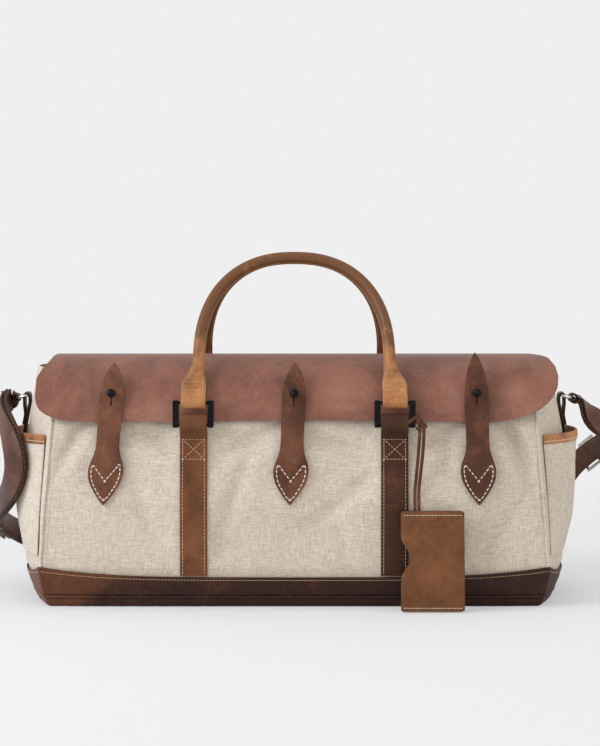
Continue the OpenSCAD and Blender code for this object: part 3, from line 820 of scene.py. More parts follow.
@dataclass
class Sling:
    """The shoulder strap: one long limp strap, with its two ends folded through the D rings and buckled."""

    width: float = 25
    thick: float = 3.0
    hub_x: float = 300
    hub_z: float = 209.2
    bow_r: float = 4.1
    thread: Thread = Thread(5.2, 3.8, 0.5)

    def faces(self, rows: Array) -> tuple[Array, Array]:
        """Splits rows of the route into points and the way the strap looks there."""
        turn = np.radians(rows[:, 3])
        out = points(np.cos(turn), np.sin(turn), 0.0)
        along = tangents(rows[:, :3])
        return rows[:, :3], unit(out - along * (out * along).sum(1, keepdims=True))

    def build(self) -> None:
        """Makes the strap, its folded ends and its keepers."""
        rows = spline(np.array(SLING_ROUTE, float), 7)
        path, out = self.faces(rows)
        long = strap("shoulder_strap_leather", path, out, self.width, self.thick, Stuff.SLING)
        place(long, "bag", "sling_leather", "shoulder_strap")
        buckles = ("strap_buckle_left", "strap_buckle_right")
        parts = [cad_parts[node] for node in buckles]
        n = len(rows)
        for hand, part in ((1, rows[:int(n * 0.115)]), (-1, rows[int(n * 0.735):][::-1])):
            parts += self.end(hand, part)
        for node in buckles:
            dress(node, Stuff.NICKEL)
        edge = unit(np.cross(out, tangents(path))) * (self.width / 2 - 3)
        runs = [(path + hand * edge + out * (self.thick / 2), out) for hand in (-1, 1)]
        self.thread.sew("shoulder_strap_stitches", runs, Stuff.TAN_THREAD, "bag", "sling_leather")

    def end(self, hand: int, rows: Array) -> list[Thing]:
        """The layer that is folded back at one end, its keeper and the fold round the ring."""
        spot, face = self.faces(rows)
        if hand < 0 < face[0][0]:
            face = -face
        reach = np.linspace(0, 1, len(rows))[:, None]
        lay = spot + face * (self.thick + 0.5 + 5.0 * np.sin(np.pi * reach) * (1 - reach))
        tail = strap(f"strap_fold_{SIDES[hand]}", lay, face, self.width - 0.6, self.thick, Stuff.SLING)
        at = int(len(rows) * 0.72)
        along = tangents(spot)
        return [place(tail, "bag", "sling_leather"), self.keeper(hand, spot[at], face[at], along[at]),
                self.turn(hand, spot[0], face[0], -along[0])]

    def keeper(self, hand: int, spot: Array, face: Array, along: Array) -> Thing:
        """A leather loop round both layers of the strap."""
        across = unit(np.cross(face, along))
        mid = spot + face * (self.thick / 2 + 0.3)
        turn = np.linspace(0, 2 * np.pi, 28, endpoint=False)
        wide, deep = (np.sign(wave) * np.abs(wave) ** 0.3 for wave in (np.cos(turn), np.sin(turn)))
        ring = mid + np.outer(wide, across * (self.width / 2 + 1.8))
        ring += np.outer(deep, face * (self.thick + 2.2))
        section = ((-6, 0), (-5.4, 1.5), (5.4, 1.5), (6, 0), (5, -0.2), (-5, -0.2))
        loops = np.array([[p + along * a + unit(p - mid) * b for a, b in section] for p in ring])
        obj = piece(f"strap_keeper_{SIDES[hand]}", *skin(loops, ring=True), of(Stuff.SLING), crease=50)
        return place(obj, "bag", "sling_leather")

    def turn(self, hand: int, spot: Array, face: Array, inward: Array) -> Thing:
        """The fold of the strap round the bow of its D ring."""
        sweep = np.linspace(1.0, -0.35, 14) * np.pi
        bow = self.bow_r * points(-hand * np.sin(sweep), 0.0, np.cos(sweep))
        bow += [hand * self.hub_x, 0.0, self.hub_z]
        path = rounded(np.array([spot + face * 0.3, *bow, spot + face * (self.thick + 0.6)]), 1)
        level = np.array([0.0, 1.0, 0.0])
        start = unit(np.cross(face, inward))
        if start @ level < 0:
            start = -start
        count = np.arange(len(path))
        mix = np.minimum(1, np.minimum(count, count[::-1]) / 4)[:, None]
        out = unit(np.cross(tangents(path), unit(start * (1 - mix) + level * mix)))
        obj = strap(f"strap_turn_{SIDES[hand]}", path, out, 17 + 7 * (1 - mix[:, 0]), 2.4, Stuff.SLING)
        return place(obj, "bag", "sling_leather")


@dataclass
class Lace:
    """The tag's lace: two strands of thin leather that hang from a lark's head on the front right strap."""

    strand: float = 3.4
    thick: float = 1.5
    diameter: float = 8
    # Centre, half size and slant of the knot's loops: one round the strap's loop and two over the strands.
    loops: Sequence[tuple[float, ...]] = (
        (121.6, 5.4, -124.6, 3.4, 196, 4.5), (130, 5.2, -124.8, 3.1, 187, 1.2), (129, 5.0, -124.8, 3.0, 191, -1.5))

    def lengths(self, name: str, paths: Sequence[Array], ways: Sequence[Sequence[float]], body: str,
                *nodes: str) -> Thing:
        """Makes one piece from lengths of lace, each with the way its face looks."""
        parts = [skin(strap_loops(path, way, self.strand, self.thick)) for path, way in zip(paths, ways)]
        return place(piece(name, *merged(parts), of(Stuff.TAB), crease=50), body, "tag_leather", *nodes)

    def build(self) -> None:
        """Makes the strands and the knot."""
        rows = spline(np.array(LACE_ROUTE, float), 3)
        paths = []
        for hand in (-1, 1):
            wave = np.sin(np.linspace(0, 2.2 * np.pi, len(rows)) + hand)
            paths.append(rows + points(hand * (2.1 + 0.25 * wave), 0.4 * wave, 0.0))
        strands = self.lengths("tag_lace_strands", paths, [(0, -1, 0)] * 2, "luggage_tag", "tag_lace")
        self.knot()

    def knot(self) -> Thing:
        """The lark's head: a bight over the strands and the loop that goes round the ring's cheek."""
        turn = np.linspace(0, 2 * np.pi, 30)
        c, s = np.cos(turn), np.sin(turn)
        paths = [points(x + wide * c, y + deep * s, z + slant * c)
                 for x, wide, y, deep, z, slant in self.loops]
        bight = np.array([[125, -126, 198], [129, -128, 196], [131.5, -128, 190], [131, -127, 182]])
        paths.append(rounded(bight))
        return self.lengths("tag_lace_knot", paths, [unit(path - path.mean(axis=0)) for path in paths], "bag")


# ---------------------------------------------------------------- canvas body
@dataclass
class Body:
    """The canvas shell with its corner seams and its lining."""

    canvas: float = 1.6
    lining: float = 0.8
    gap: float = 0.7
    thread: Thread = Thread(4.0, 2.9, 0.35)

    def build(self) -> None:
        """Makes the shell, the lining and the seams."""
        zs = np.concatenate([np.linspace(12.5, 60, 22), np.linspace(63, 244.6, 48)])
        walls = [np.array([FORM.ring(z, off) for z in zs]) for off in (0.0, -self.canvas)]
        verts, faces, _ = sheet_solid(*walls, closed=True)
        place(piece("canvas_shell", verts, faces, of(Stuff.LINEN), crease=62), "bag", "canvas", "front_panel",
              "back_panel", "gusset_left", "gusset_right")
        depth = -self.canvas - self.gap
        walls = [np.array([FORM.ring(z, off, 90, 30) for z in np.linspace(8, 241.5, 40)])
                 for off in (depth, depth - self.lining)]
        verts, faces, _ = sheet_solid(*walls, closed=True)
        count, n, _ = walls[0].shape
        faces += [tuple(range(n)), tuple(count * n + i for i in reversed(range(n)))]
        place(piece("lining_cloth", verts, faces, of(Stuff.COTTON)), "bag", "lining", "lining")
        self.seams(zs[(zs > 40) & (zs < 244)])

    def seams(self, up: Array) -> None:
        """A felled ridge and a row of stitches up each corner."""
        runs = []
        x = FORM.seam_x(up) - 5
        for sx, sy in CORNERS:
            sway = 0.1 * np.sin(up / 9.0 + sx + sy)
            line = points(sx * (FORM.seam_x(up) + 0.3), sy * (FORM.seam_y(up) + 0.3) + sway, up)
            place(tube(f"corner_seam_{SIDES[sx]}_{FACES[-sy]}", line, 1.5, Stuff.LINEN, 8), "bag", "canvas")
            runs.append((points(sx * x, -sy * FORM.front_y(x, up), up), (0, sy, 0)))
        self.thread.sew("corner_stitches", runs, Stuff.THREAD, "bag", "canvas")


@dataclass
class Base:
    """The leather tub: floor, piped seam and the band that is lapped over the canvas and stitched."""

    thick: float = 2.2
    gap: float = 0.3
    piping_z: float = 11
    piping_r: float = 1.8
    corner_r: float = 2.4
    thread: Thread = Thread(3.3, 2.4, 0.34)
    # Height and offset from the outline, from the floor's edge up to the piping.
    rise: Table = ((0.2, -7), (0.2, -5), (1.4, -2.2), (3.4, -0.2), (6.2, 0.8), (8.9, 1.0))

    def wall(self, long: bool, u: Array, share: float, out: float) -> Array:
        """A line on the front or the right end, between the piping and the band's edge."""
        low = self.piping_z + self.piping_r + 0.3
        top = 32 + 10 * np.abs(u) ** 4
        z = low + share * (top - low)
        out = out + 0.7 * math.sin(math.pi * share)
        if long:
            x = u * FORM.seam_x(z)
            return points(x, FORM.front_y(x, z) - out, z)
        y = u * (FORM.seam_y(z) - 0.4)
        return points(FORM.end_x(y, z) + out, y, z)

    def loop(self, z: float, out: float) -> Array:
        """The outline at the piping, lifted to a height and pushed outwards."""
        loop = FORM.ring(self.piping_z, 0, 120, 40)
        loop[:, :2] += out * unit(loop[:, :2] / [FORM.seam_half, FORM.corner_half])
        loop[:, 2] = z
        return loop

    def build(self) -> None:
        """Makes the floor, the piping and the four lengths of band."""
        outer = np.array([self.loop(z, o) for z, o in self.rise])
        inner = np.array([self.loop(z + 1.6 * (o < 0), o - self.thick * (z > 1)) for z, o in self.rise])
        verts, faces, _ = sheet_solid(outer, inner, closed=True)
        count, n, _ = outer.shape
        faces += [tuple(reversed(range(n))), tuple(count * n + i for i in range(n))]
        place(piece("base_tub", verts, faces, of(Stuff.BASE)), "bag", "base_leather", "base_panel")
        roll = self.loop(self.piping_z, self.piping_r + 0.2)
        place(tube("base_piping_roll", roll, self.piping_r, Stuff.BASE, ring=True), "bag", "base_leather",
              "base_piping")
        self.bands()
        dress("base_board", Stuff.BOARD)

    def bands(self) -> None:
        """Makes each length of band, its row of stitches and the rolled seam at each corner."""
        runs = []
        for long, sign in ((True, 1), (True, -1), (False, 1), (False, -1)):
            u = np.linspace(-1, 1, 120 if long else 50)
            flip = (sign, sign, 1) if long else (sign, 1, 1)
            verts, faces, marks = sheet_solid(
                *(np.array([self.wall(long, u, share, off) for share in np.linspace(0, 1, 9)]) * flip
                  for off in (self.gap + self.thick, self.gap)))
            side = (FACES if long else SIDES)[sign]
            band = piece(f"band_leather_{side}", verts, faces, of(Stuff.BASE, Stuff.EDGE), marks, bevel=0.6)
            place(band, "bag", "base_leather", f"base_band_{side}")
            line = self.wall(long, u, 0.84, self.gap + self.thick) * flip
            runs.append((line, (0, -sign, 0) if long else (sign, 0, 0)))
        self.thread.sew("base_band_stitches", runs, Stuff.TAN_THREAD, "bag", "base_leather")
        z = np.linspace(self.piping_z + 1, 41, 16)
        for sx, sy in ((-1, -1), (1, -1), (1, 1), (-1, 1)):
            line = points(sx * (FORM.seam_x(z) + 0.6), sy * (FORM.seam_y(z) + 0.6), z)
            place(tube(f"base_corner_{SIDES[sx]}_{FACES[-sy]}", line, self.corner_r, Stuff.BASE), "bag",
                  "base_leather")


@dataclass
class Pocket:
    """The end pockets: slightly gaping canvas patches with a leather binding along each mouth."""

    low: float = 52
    top: float = 168
    lip: float = 177
    binding_thread: Thread = Thread(3.8, 2.8, 0.45)
    edge_thread: Thread = Thread(3.8, 2.8, 0.35)

    def spot(self, u: Number, z: float, out: float, hand: int) -> Array:
        """A line across the pocket at one height."""
        y = u * (FORM.seam_y(z) - 9)
        depth = read([(52, 0.6), (80, 6), (130, 11), (177, 13)], z)
        sag = 1.2 * (0.5 + 0.5 * np.sin(7 * u + z / 19 + hand)) * (1 - u ** 6) * np.clip((170 - z) / 30, 0, 1)
        return points(hand * (FORM.end_x(y, z) + 0.3 + depth * (1 - np.abs(u) ** 4) + out - sag), y, z)

    def build(self) -> None:
        """Makes both pockets, with the stitches of each."""
        u = np.linspace(-1, 1, 60)
        for hand, side in SIDES.items():
            zs = np.linspace(self.low, self.top, 30)
            verts, faces, _ = sheet_solid(*(np.array([self.spot(u, z, out, hand) for z in zs])
                                            for out in (1.2, 0.2)))
            place(piece(f"pocket_canvas_{side}", verts, faces, of(Stuff.LINEN), crease=60), "bag", "canvas",
                  f"end_pocket_{side}")
            zs = np.linspace(self.top - 1.2, self.lip, 6)
            puff = 1.9 + 0.5 * np.sin(np.linspace(0, np.pi, 6))
            verts, faces, _ = sheet_solid(np.array([self.spot(u, z, out, hand) for z, out in zip(zs, puff)]),
                                          np.array([self.spot(u, z, -0.3, hand) for z in zs]))
            place(piece(f"binding_leather_{side}", verts, faces, of(Stuff.ROLL), crease=60, bevel=0.4), "bag",
                  "handle_leather", f"pocket_binding_{side}")
            way = (hand, 0, 0)
            self.binding_thread.sew(f"binding_stitches_{side}", [(self.spot(u, 170, 2.1, hand), way)],
                                    Stuff.THREAD, "bag", "handle_leather")
            rows = [np.array([self.spot(end, z, 1.3, hand) for z in np.linspace(54, 166, 30)])
                    for end in (-0.965, 0.965)] + [self.spot(u, 55.5, 1.3, hand)]
            self.edge_thread.sew(f"pocket_stitches_{side}", [(row, way) for row in rows], Stuff.THREAD, "bag",
                                 "canvas")


# ---------------------------------------------------------------- handles
@dataclass
class Handles:
    """The two rolled handles, at the front and the back, each with its two straps."""

    pitch: float = 206
    width: float = 28
    thick: float = 2.1
    bar_y: float = -122.5
    low_bar: float = 196.8
    top_bar: float = 212
    box_low: float = 153
    box_top: float = 176
    roll: float = 5.75
    inset: float = 4.4
    spring: float = 50
    apex: float = 168
    lean: float = 28
    power: float = 2.3
    seam: float = 0.86 * math.pi
    strap_thread: Thread = Thread(3.7, 2.7, 0.4)
    roll_thread: Thread = Thread(3.3, 2.4, 0.34)
    # Height, shift, half width, half thickness and ridge, from the folded tongue up to the round roll.
    flare: Sequence[tuple[float, ...]] = (
        (12.5, 4.4, 12.9, 2.1, 0), (16, 4.4, 12.9, 2.3, 0), (20, 4.3, 12.7, 2.5, 0),
        (23.5, 3.9, 12.0, 2.9, 0), (27, 3.2, 10.9, 3.5, 0.1), (31, 2.3, 9.5, 4.2, 0.3),
        (35, 1.5, 8.2, 4.8, 0.6), (39.5, 0.8, 7.1, 5.3, 0.9), (44.5, 0.2, 6.3, 5.6, 1.2))

    def skin_y(self, z: Array) -> Array:
        """Where a strap's back lies on the panel."""
        return FORM.front_y(self.pitch / 2, z) - 0.3

    def lap(self, z: Array) -> Array:
        """How far the strap's front layer stands off, where its end lies under it."""
        return np.clip((z - 146) / 8, 0, 1) * (self.thick + 0.2)

    def strap_line(self) -> Array:
        """Centre line of a strap in y and z, up the panel, over the bar and down behind."""
        t = self.thick
        r = 2.05 + t / 2
        a = np.linspace(np.pi, 0, 13)
        up = np.array([34.0, 48, 62, 76, 90, 104, 118, 132, 144, 152, 158, 167, 175])
        tail = np.array([178.0, 175, 167, 158, self.box_low])
        return np.concatenate([
            np.stack([self.skin_y(up) - t / 2 - self.lap(up), up], 1),
            [[self.bar_y - r, 187]],
            np.stack([self.bar_y + r * np.cos(a), self.low_bar + r * np.sin(a)], 1),
            [[self.bar_y + r, 188]],
            np.stack([self.skin_y(tail) - t / 2, tail], 1)])

    def build(self) -> None:
        """Makes the straps, handles and stitches of both sides."""
        for hand, name in FACES.items():
            self.straps(name, hand)
            self.handle(name, hand)
            self.sew_roll(name, hand)
            dress(f"rings_{name}", Stuff.BLACK)
            dress(f"handle_core_{name}", Stuff.ROPE)

    def straps(self, name: str, hand: int) -> None:
        """Makes two straps, with a row of stitches along each edge and a crossed box under the loop."""
        line = self.strap_line()
        spin = (hand, hand, 1)
        z = np.linspace(37, self.box_low - 1, 60)
        y = self.skin_y(z) - self.thick - self.lap(z)
        runs = []
        for side in (-1, 1):
            x = side * self.pitch / 2
            path = resample(points(x, *line.T), 3.0)
            out = np.cross(tangents(path), [1.0, 0, 0])
            label = f"{name}_{SIDES[side * hand]}"
            leather = strap(f"strap_leather_{label}", path * spin, out * spin, self.width, self.thick,
                            Stuff.STRAP)
            place(leather, "bag", "strap_leather", f"strap_{label}")
            rows = [points(x + edge * (self.width / 2 - 2.8), y, z) for edge in (-1, 1)] + self.box(x)
            runs += [(row * spin, (0, -hand, 0)) for row in rows]
        self.strap_thread.sew(f"strap_stitches_{name}", runs, Stuff.TAN_THREAD, "bag", "strap_leather")

    def box(self, x: float) -> list[Array]:
        """The crossed box of stitches that holds both layers of a strap."""
        w, low, top = self.width / 2 - 3, self.box_low + 1, self.box_top - 2
        a, b, c, d = (-w, low), (w, low), (w, top), (-w, top)
        share = np.linspace(0, 1, 12)
        rows = []
        for (x0, z0), (x1, z1) in ((a, b), (b, c), (c, d), (d, a), (a, c), (b, d)):
            z = z0 + (z1 - z0) * share
            rows.append(points(x + x0 + (x1 - x0) * share, self.skin_y(z) - 2 * self.thick - 0.2, z))
        return rows

    def raised(self, x: Number, q: Number, s: Number, hand: int) -> Array:
        """Places points of the upright handle: leans them over the bars and spins them to their side."""
        c, d = math.cos(math.radians(self.lean)), math.sin(math.radians(self.lean))
        return points(x, q * c + s * d + self.bar_y, -q * d + s * c + self.top_bar) * (hand, hand, 1)

    def turned(self, x: Number, q: Number, s: Number, hand: int) -> Array:
        """A direction on the upright handle after the same lean and spin."""
        return self.raised(x, q, s, hand) - self.raised(0.0, 0.0, 0.0, hand)

    def arch(self, t: float) -> tuple[Array, Array]:
        """Centre and outward way of the roll at an angle round the arch."""
        e = np.array([abs(math.cos(t)) ** (2 / self.power), max(0.0, math.sin(t)) ** (2 / self.power)])
        size = np.array([self.pitch / 2 - self.inset, self.apex - self.spring])
        side = (1 if math.cos(t) >= 0 else -1, 1)
        return np.array([0, self.spring]) + size * e * side, unit(e ** (self.power - 1) / size * side)

    def sections(self) -> list[tuple[Array, Array, float, float, float]]:
        """Sections of the handle: centre, outward way, half width, half thickness and ridge."""
        leg = self.pitch / 2 - self.inset
        feet = [[(np.array([side * (leg + o), s]), np.array([side, 0.0]), w, t, k)
                 for s, o, w, t, k in self.flare] for side in (1, -1)]
        arch = [(*self.arch(t), self.roll, self.roll, 1.5) for t in np.linspace(0, np.pi, 73)]
        return feet[0] + arch + feet[1][::-1]

    def handle(self, name: str, hand: int) -> None:
        """Makes the roll and the folds round the bars."""
        turn = np.linspace(0, 2 * np.pi, 28, endpoint=False)
        loops = []
        for centre, out, w, t, ridge in self.sections():
            bulge = 1 + ridge / self.roll * np.exp(-((np.angle(np.exp(1j * (turn - self.seam))) / 0.26) ** 2))
            flat = np.clip((w - 8) / 5, 0, 1)
            n, q = (size * ((1 - flat) * wave * bulge + flat * np.sign(wave) * np.abs(wave) ** 0.45)
                    for size, wave in ((w, np.cos(turn)), (t, np.sin(turn))))
            loops.append(self.raised(centre[0] + n * out[0], q, centre[1] + n * out[1], hand))
        roll = piece(f"rolled_leather_{name}", *skin(np.array(loops)), of(Stuff.ROLL), crease=60)
        place(roll, f"{name}_handle", "handle_leather", f"handle_{name}")
        a = np.linspace(np.pi, 2 * np.pi, 15)
        q = np.concatenate([[-1.15, -1.6, -3.4], 4.75 * np.cos(a), [3.4, 1.6, 1.15]])
        s = np.concatenate([[15, 11.5, 6.2], 4.75 * np.sin(a), [6.2, 11.5, 15]])
        row = rounded(np.stack([q, s], 1), 1)
        for side in (-1, 1):
            path = self.raised(side * self.pitch / 2, *row.T, hand)
            out = np.cross(tangents(path), [hand, 0, 0])
            fold = strap(f"handle_fold_{name}_{SIDES[side * hand]}", path, out, self.width - 2.2, 2.1, Stuff.ROLL)
            place(fold, f"{name}_handle", "handle_leather")

    def sew_roll(self, name: str, hand: int) -> None:
        """Stitches along the seam of the roll, and a box on each face of its flat ends."""
        runs = []
        rows = [self.arch(t) for t in np.linspace(0.06, np.pi - 0.06, 60)]
        r = self.roll + 0.55
        for lift in (-0.24, 0.24):
            c, d = math.cos(self.seam + lift), math.sin(self.seam + lift)
            spots = [self.raised(centre[0] + r * c * out[0], r * d, centre[1] + r * c * out[1], hand)
                     for centre, out in rows]
            ways = [self.turned(c * out[0], d, c * out[1], hand) for _, out in rows]
            runs.append((np.array(spots), np.array(ways)))
        w, low, top = self.width / 2 - 4.6, 13.5, 22.5
        lines = ((-w, low, w, low), (-w, top, w, top), (-w, low, -w, top), (w, low, w, top))
        share = np.linspace(0, 1, 10)
        for side, face in CORNERS:
            for x0, s0, x1, s1 in lines:
                s = s0 + (s1 - s0) * share
                q = face * read([(12, 2.3), (16, 2.45), (20, 2.65), (23.5, 3.0)], s)
                spots = self.raised(side * self.pitch / 2 + x0 + (x1 - x0) * share, q, s, hand)
                runs.append((spots, self.turned(0.0, face, 0.0, hand)))
        self.roll_thread.sew(f"handle_stitches_{name}", runs, Stuff.TAN_THREAD, f"{name}_handle",
                             "handle_leather")


# ---------------------------------------------------------------- flap and tabs
@dataclass
class Flap:
    """One hide: sewn to the back panel, turned over the top edge and hung down the front."""

    thick: float = 2.4
    top_half: float = 252
    low_z: float = 192
    # Height and half length of the front's left and right ends.
    left: Table = ((191.5, 214), (192.6, 232), (194.6, 244), (198, 254), (203, 261), (209, 265), (216, 266.5),
                   (236, 266), (246, 261), (254, 254), (258, 252))
    right: Table = ((191.5, 196), (192.6, 212), (195, 226), (199, 239), (204, 250), (210, 259.5), (218, 267),
                    (227, 271.5), (238, 273), (248, 271), (255, 266), (258, 262))
    front_y: float = -112.4
    ridge_r: float = 60
    hinge_y: float = 86
    hinge_z: float = 249
    top_z: float = 258

    def line(self) -> Array:
        """Middle line of the hide in y and z, from its sewn edge at the back to its free edge."""
        ry, rz = self.front_y + self.ridge_r + 1.6, self.top_z - self.ridge_r
        mid = self.ridge_r - self.thick / 2
        low = np.array([205.0, 215, 225])
        share = np.linspace(0.04, 1, 15)
        drop = (rz + mid - self.hinge_z) * (1 - share) ** 2
        a = np.radians(np.linspace(93, 171, 24))
        rows = np.concatenate([
            np.stack([1.7 - FORM.front_y(0.0, low), low], 1),
            [[self.hinge_y + 0.6, 240]],
            np.stack([self.hinge_y + (ry - self.hinge_y) * share, rz + mid - drop], 1),
            np.stack([ry + mid * np.cos(a), rz + mid * np.sin(a)], 1),
            [[self.front_y + self.thick / 2, z] for z in (204.0, 200.0, 196.0, self.low_z + 0.4)]])
        return resample(points(0.0, *rows.T), 3.2)[:, 1:]

    def edge_at(self, y: Array, z: Array, rows: Table) -> Array:
        """Distance from the middle to one end of the hide, at each point of its line."""
        turned = np.clip((-20 - y) / 42, 0, 1)
        return self.top_half + turned * (read(rows, z) - self.top_half)

    def build(self) -> None:
        """Makes the hide, its stitches along the back seam and the studs' finish."""
        path = self.line()
        u = np.sin(np.linspace(-1, 1, 130) * np.pi / 2)
        left, right = (self.edge_at(*path.T, rows) for rows in (self.left, self.right))
        outer, inner = [], []
        for (y, z), (wy, wz), a, b in zip(path, tangents(path), left, right):
            x = np.where(u < 0, u * a, u * b)
            ease = np.clip((-y - 20) / 60, 0, 1)
            drift = np.clip((232 - z) / 40, 0, 1) if y < -60 else 0
            wave = 0.9 * np.sin(x / 41 + 0.6) * np.sin(x / 97 + 1.1) - 0.4 + drift * 0.8 * np.sin(x / 23 + 2)
            wave = np.minimum(0.3, ease * (wave - np.exp(-((np.abs(x) - 262) / 12) ** 2)))
            sway = drift * (0.9 * np.sin(x / 63 + 1) - 0.7 * np.exp(-((x - 150) / 60) ** 2))
            for rows, off in ((outer, wave + self.thick / 2), (inner, wave - self.thick / 2)):
                rows.append(points(x, y + wz * off, z - wy * off + sway))
        verts, faces, marks = sheet_solid(np.array(outer), np.array(inner))
        hide = piece("flap_hide", verts, faces, of(Stuff.FLAP, Stuff.EDGE), marks, crease=50, bevel=0.6)
        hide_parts("flap", "flap_yoke")
        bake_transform(hide)
        x = np.linspace(-246, 246, 200)
        runs = [(points(x, 2.95 - FORM.front_y(0.0, z) + (z - 205) * 0.01, z), (0, 1, 0.2))
                for z in (208.5, 214.0)]
        Thread().sew("flap_seam_stitches", runs, Stuff.THREAD, "bag", "flap_leather")
        for node in ("stud_left", "stud_middle", "stud_right"):
            dress(node, Stuff.BLACK)


@dataclass
class Tabs:
    """Three closing tabs: a leaf sewn to the front, a waist that bends and a pointed blade with a keyhole."""

    pitch: float = 187
    hinge_z: float = 152
    low_z: float = 107
    thick: float = 2.9
    lean: float = 5.2
    stud_s: float = 69.3
    hole_r: float = 3.1
    thread: Thread = Thread(4.8, 3.5, 0.55)
    # Distance up the tab, nought at its bend, and half width there.
    shape: Table = ((-45.2, 0.2), (-43.5, 1.8), (-41, 3.9), (-37, 6.9), (-33, 9.7), (-29, 12.2), (-25, 14.5),
                    (-21, 16.3), (-17, 17.5), (-12, 18.2), (-7, 17.9), (-2, 16.5), (2, 15.0), (6, 13.6),
                    (12, 12.2), (20, 11.7), (35, 11.9), (55, 12.4), (68, 12.3), (76, 11.5), (84, 9.8),
                    (91, 7.4), (97, 4.5), (100.5, 2.2), (102.6, 0.2))
    # Place, side, lean and added length of each tab.
    tabs: Sequence[tuple] = ((-1, "left", 0.075, -2), (0, "middle", 0.04, -2), (1, "right", -0.022, 8))

    def mid(self, k: int, s: Array) -> tuple[Array, Array]:
        """The back face of tab k in y and z at distances up the tab."""
        y0 = FORM.front_y(self.pitch, self.hinge_z) - 2.6
        low = FORM.front_y(abs(k) * self.pitch, self.low_z)
        slope = math.atan((y0 - low + 0.6) / (self.hinge_z - self.low_z))
        up = math.radians(self.lean)
        y = y0 + np.where(s < 0, s * math.sin(slope), s * math.sin(up) + 0.011 * np.maximum(0, s - 78) ** 2)
        return y, self.hinge_z + s * np.where(s < 0, math.cos(slope), math.cos(up))

    def build(self) -> None:
        """Makes the three tabs with their holes and stitches."""
        for k, side, tilt, spare in self.tabs:
            tab = self.strip(k, side, tilt, spare)
            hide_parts(f"tab_{side}", f"tab_leaf_{side}")
            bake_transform(tab)
            log.info("%s bends between bag and closure_tab_%s", tab.name, side)
            self.sew(k, side, tilt)

    def centre(self, k: int, tilt: float, s: Array) -> Array:
        """The tab's middle in x. The tab leans about its stud."""
        return k * self.pitch + tilt * (s - self.stud_s)

    def strip(self, k: int, side: str, tilt: float, spare: float) -> Thing:
        """The leather of one tab, cut through for the keyhole and its slit. Spare lengthens its point."""
        s = np.unique(np.concatenate([np.linspace(-45.2, -30, 16), np.linspace(-30, 78, 50),
                                      np.linspace(78, 102.6, 24)]))
        w = read(self.shape, s)
        s = s + spare * np.clip((s - 72) / 30, 0, 1)
        y, z = (row[:, None] for row in self.mid(k, s))
        u = np.sin(np.linspace(-1, 1, 15) * np.pi / 2)
        x = self.centre(k, tilt, s)[:, None] + u * w[:, None]
        crown = self.thick + 0.35 * (1 - u ** 2)
        verts, faces, marks = sheet_solid(points(x, y - crown, z), points(x, y, z))
        tab = piece(f"tab_strip_{side}", verts, faces, of(Stuff.TAB, Stuff.EDGE), marks, crease=45,
                    bevel=0.55)
        for n, outline in enumerate(self.holes(k, tilt)):
            tool = piece(f"cutter_{side}_{n}", *skin(outline), of(Stuff.EDGE))
            cut = tab.modifiers.new("keyhole", "BOOLEAN")
            cut.object = tool
            cut.operation = "DIFFERENCE"
            cut.solver = "EXACT"
            settle(tab)
            bpy.data.objects.remove(tool)
        tab.data.shade_smooth()
        tab.data.set_sharp_from_angle(angle=math.radians(45))
        return tab

    def holes(self, k: int, tilt: float) -> tuple[Array, Array]:
        """The prisms that cut the stud's hole and the slit below it."""
        ys, zs = self.mid(k, np.array([self.stud_s, 57.0]))
        turn = np.linspace(0, 2 * np.pi, 20, endpoint=False)
        x = k * self.pitch
        left, right = x - 6 * tilt - 0.8, x - 6 * tilt + 0.8
        hole = np.stack([x + self.hole_r * np.cos(turn), zs[0] + self.hole_r * np.sin(turn)], 1)
        slit = np.array([(left, zs[1]), (right, zs[1]), (right, zs[0] - 1), (left, zs[0] - 1)])
        return tuple(np.array([points(flat[:, 0], ys[0] + d, flat[:, 1]) for d in (-8, 8)])
                     for flat in (hole, slit))

    def sew(self, k: int, side: str, tilt: float) -> None:
        """Stitches round the leaf, with a notch in the middle of their upper line."""
        s = np.linspace(-4, -44, 40)
        w = read(self.shape, s) - 3.4
        s, w = s[w > 0.8], w[w > 0.8]
        runs = []
        for hand in (-1, 1):
            flat = np.array([(0.0, -20.5), (hand * w[0], -3.5), *zip(hand * w, s), (0.0, -39.6)])
            y, z = self.mid(k, flat[:, 1])
            x = self.centre(k, tilt, flat[:, 1]) + flat[:, 0]
            runs.append((points(x, y - self.thick - 0.2, z), (0, -1, 0)))
        self.thread.sew(f"leaf_stitches_{side}", runs, Stuff.THREAD, "bag", "tab_leather")


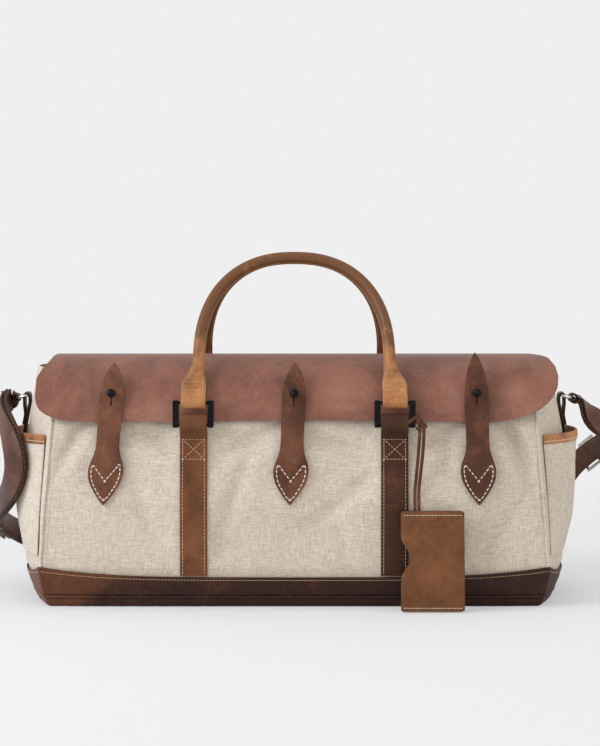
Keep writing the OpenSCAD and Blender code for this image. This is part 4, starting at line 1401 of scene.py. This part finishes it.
# ---------------------------------------------------------------- chapes and tag
@dataclass
class Chapes:
    """The leather loops that hold the D rings to the ends."""

    width: float = 20
    thick: float = 2.1
    hub_z: float = 212
    thread: Thread = Thread(4.0, 2.9, 0.45)

    def build(self) -> None:
        """Makes both loops and their stitches, and gives the rings their finish."""
        hub_x = FORM.end_x(0.0, self.hub_z) + 5.6
        t = self.thick
        low = np.array([128.5, 140, 152, 164, 176, 186, 192])
        lap = np.array([192.0, 186, 181])
        a = np.linspace(np.pi, 0, 13)
        line = np.concatenate([
            np.stack([FORM.end_x(0.0, low) + 0.35 + t / 2, low], 1),
            [[hub_x - 2.9, 205]],
            np.stack([hub_x + 2.9 * np.cos(a), self.hub_z + 2.9 * np.sin(a)], 1),
            [[hub_x + 3.0, 203.0]],
            np.stack([FORM.end_x(0.0, lap) + 0.5 + 1.5 * t, lap], 1)])
        z = np.linspace(131, 178, 20)
        for hand, side in SIDES.items():
            path = resample(points(hand * line[:, 0], 0.0, line[:, 1]), 2.5)
            out = np.cross(tangents(path), [0.0, -hand, 0.0])
            place(strap(f"chape_loop_{side}", path, out, self.width, t, Stuff.SLING), "bag", "sling_leather",
                  f"chape_{side}")
            x = hand * (FORM.end_x(0.0, z) + 0.4 + t)
            runs = [(points(x, edge * (self.width / 2 - 2.8), z), (hand, 0, 0)) for edge in (-1, 1)]
            self.thread.sew(f"chape_stitches_{side}", runs, Stuff.THREAD, "bag", "sling_leather")
            dress(f"sling_ring_{side}", Stuff.NICKEL)


@dataclass
class Tag:
    """The card holder: two panels sewn above and below, folded at the right, notched at the left."""

    width: float = 64
    high: float = 102
    thick: float = 1.6
    x: float = 140.5
    low: float = 1.4
    low_y: float = -145
    lean: float = 8
    corner: float = 2.2
    slot: float = 1
    thread: Thread = Thread(3.2, 2.4, 0.32)

    def spot(self, x: Array, s: Number, q: Number) -> Array:
        """Places points of the upright holder: x across, s up and q out of its face."""
        a = math.radians(self.lean)
        out = q + 1.1 * np.sin(np.pi * np.clip(s / self.high, 0, 1)) * (1 - (x / 40) ** 2)
        return points(self.x + x, self.low_y + s * math.sin(a) - out * math.cos(a),
                      self.low + s * math.cos(a) - 0.2 * out * math.sin(a))

    def panel(self, name: str, q: float) -> Thing:
        """One panel, with its thumb notch at the left."""
        s = np.linspace(0, self.high, 60)
        notch = 4.9 * (1 + np.cos(np.pi * np.clip((s - 0.53 * self.high) / 22, -1, 1)))
        end = np.maximum(0, self.corner - np.minimum(s, self.high - s))
        trim = self.corner - np.sqrt(self.corner ** 2 - end ** 2)
        left, right = trim + notch - self.width / 2, self.width / 2 - trim
        x = left[:, None] + np.linspace(0, 1, 14) * (right - left)[:, None]
        verts, faces, marks = sheet_solid(*(self.spot(x, s[:, None], out) for out in (q + self.thick, q)))
        obj = piece(name, verts, faces, of(Stuff.TAG, Stuff.EDGE), marks, crease=45, bevel=0.4)
        return place(obj, "luggage_tag", "tag_leather")

    def build(self) -> None:
        """Makes the panels, the fold and the stitches."""
        front = self.panel("tag_panel_front", self.thick + self.slot)
        self.panel("tag_panel_back", 0)
        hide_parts("tag_holder")
        full = 2 * self.thick + self.slot
        edge = self.width / 2 - 1
        a = np.linspace(-np.pi / 2, np.pi / 2, 9)
        x = np.append(edge + 1.9 * np.cos(a), [edge, edge])
        q = np.append(full / 2 * (1 + np.sin(a)), [full - 0.3, 0.3])
        loops = np.array([self.spot(x, s, q) for s in np.linspace(1, self.high - 1, 30)])
        place(piece("tag_fold", *skin(loops), of(Stuff.TAG)), "luggage_tag", "tag_leather")
        x = np.linspace(-28, 29, 30)
        runs = [(self.spot(x, s, full + 0.05), (0, -1, 0.1)) for s in (3.8, self.high - 4.2)]
        self.thread.sew("tag_stitches", runs, Stuff.THREAD, "luggage_tag", "tag_leather")


def main() -> None:
    """Builds the camera and cords, then every sub-assembly from the inside out."""
    logging.basicConfig(level=logging.INFO, format="%(message)s")
    studio = Studio()
    studio.camera()
    Sling().build()
    Lace().build()
    for part in (Body(), Base(), Pocket(), Handles(), Flap(), Tabs(), Chapes(), Tag(), studio):
        part.build()
        log.info("%s done", type(part).__name__)


if __name__ == "__main__":
    main()
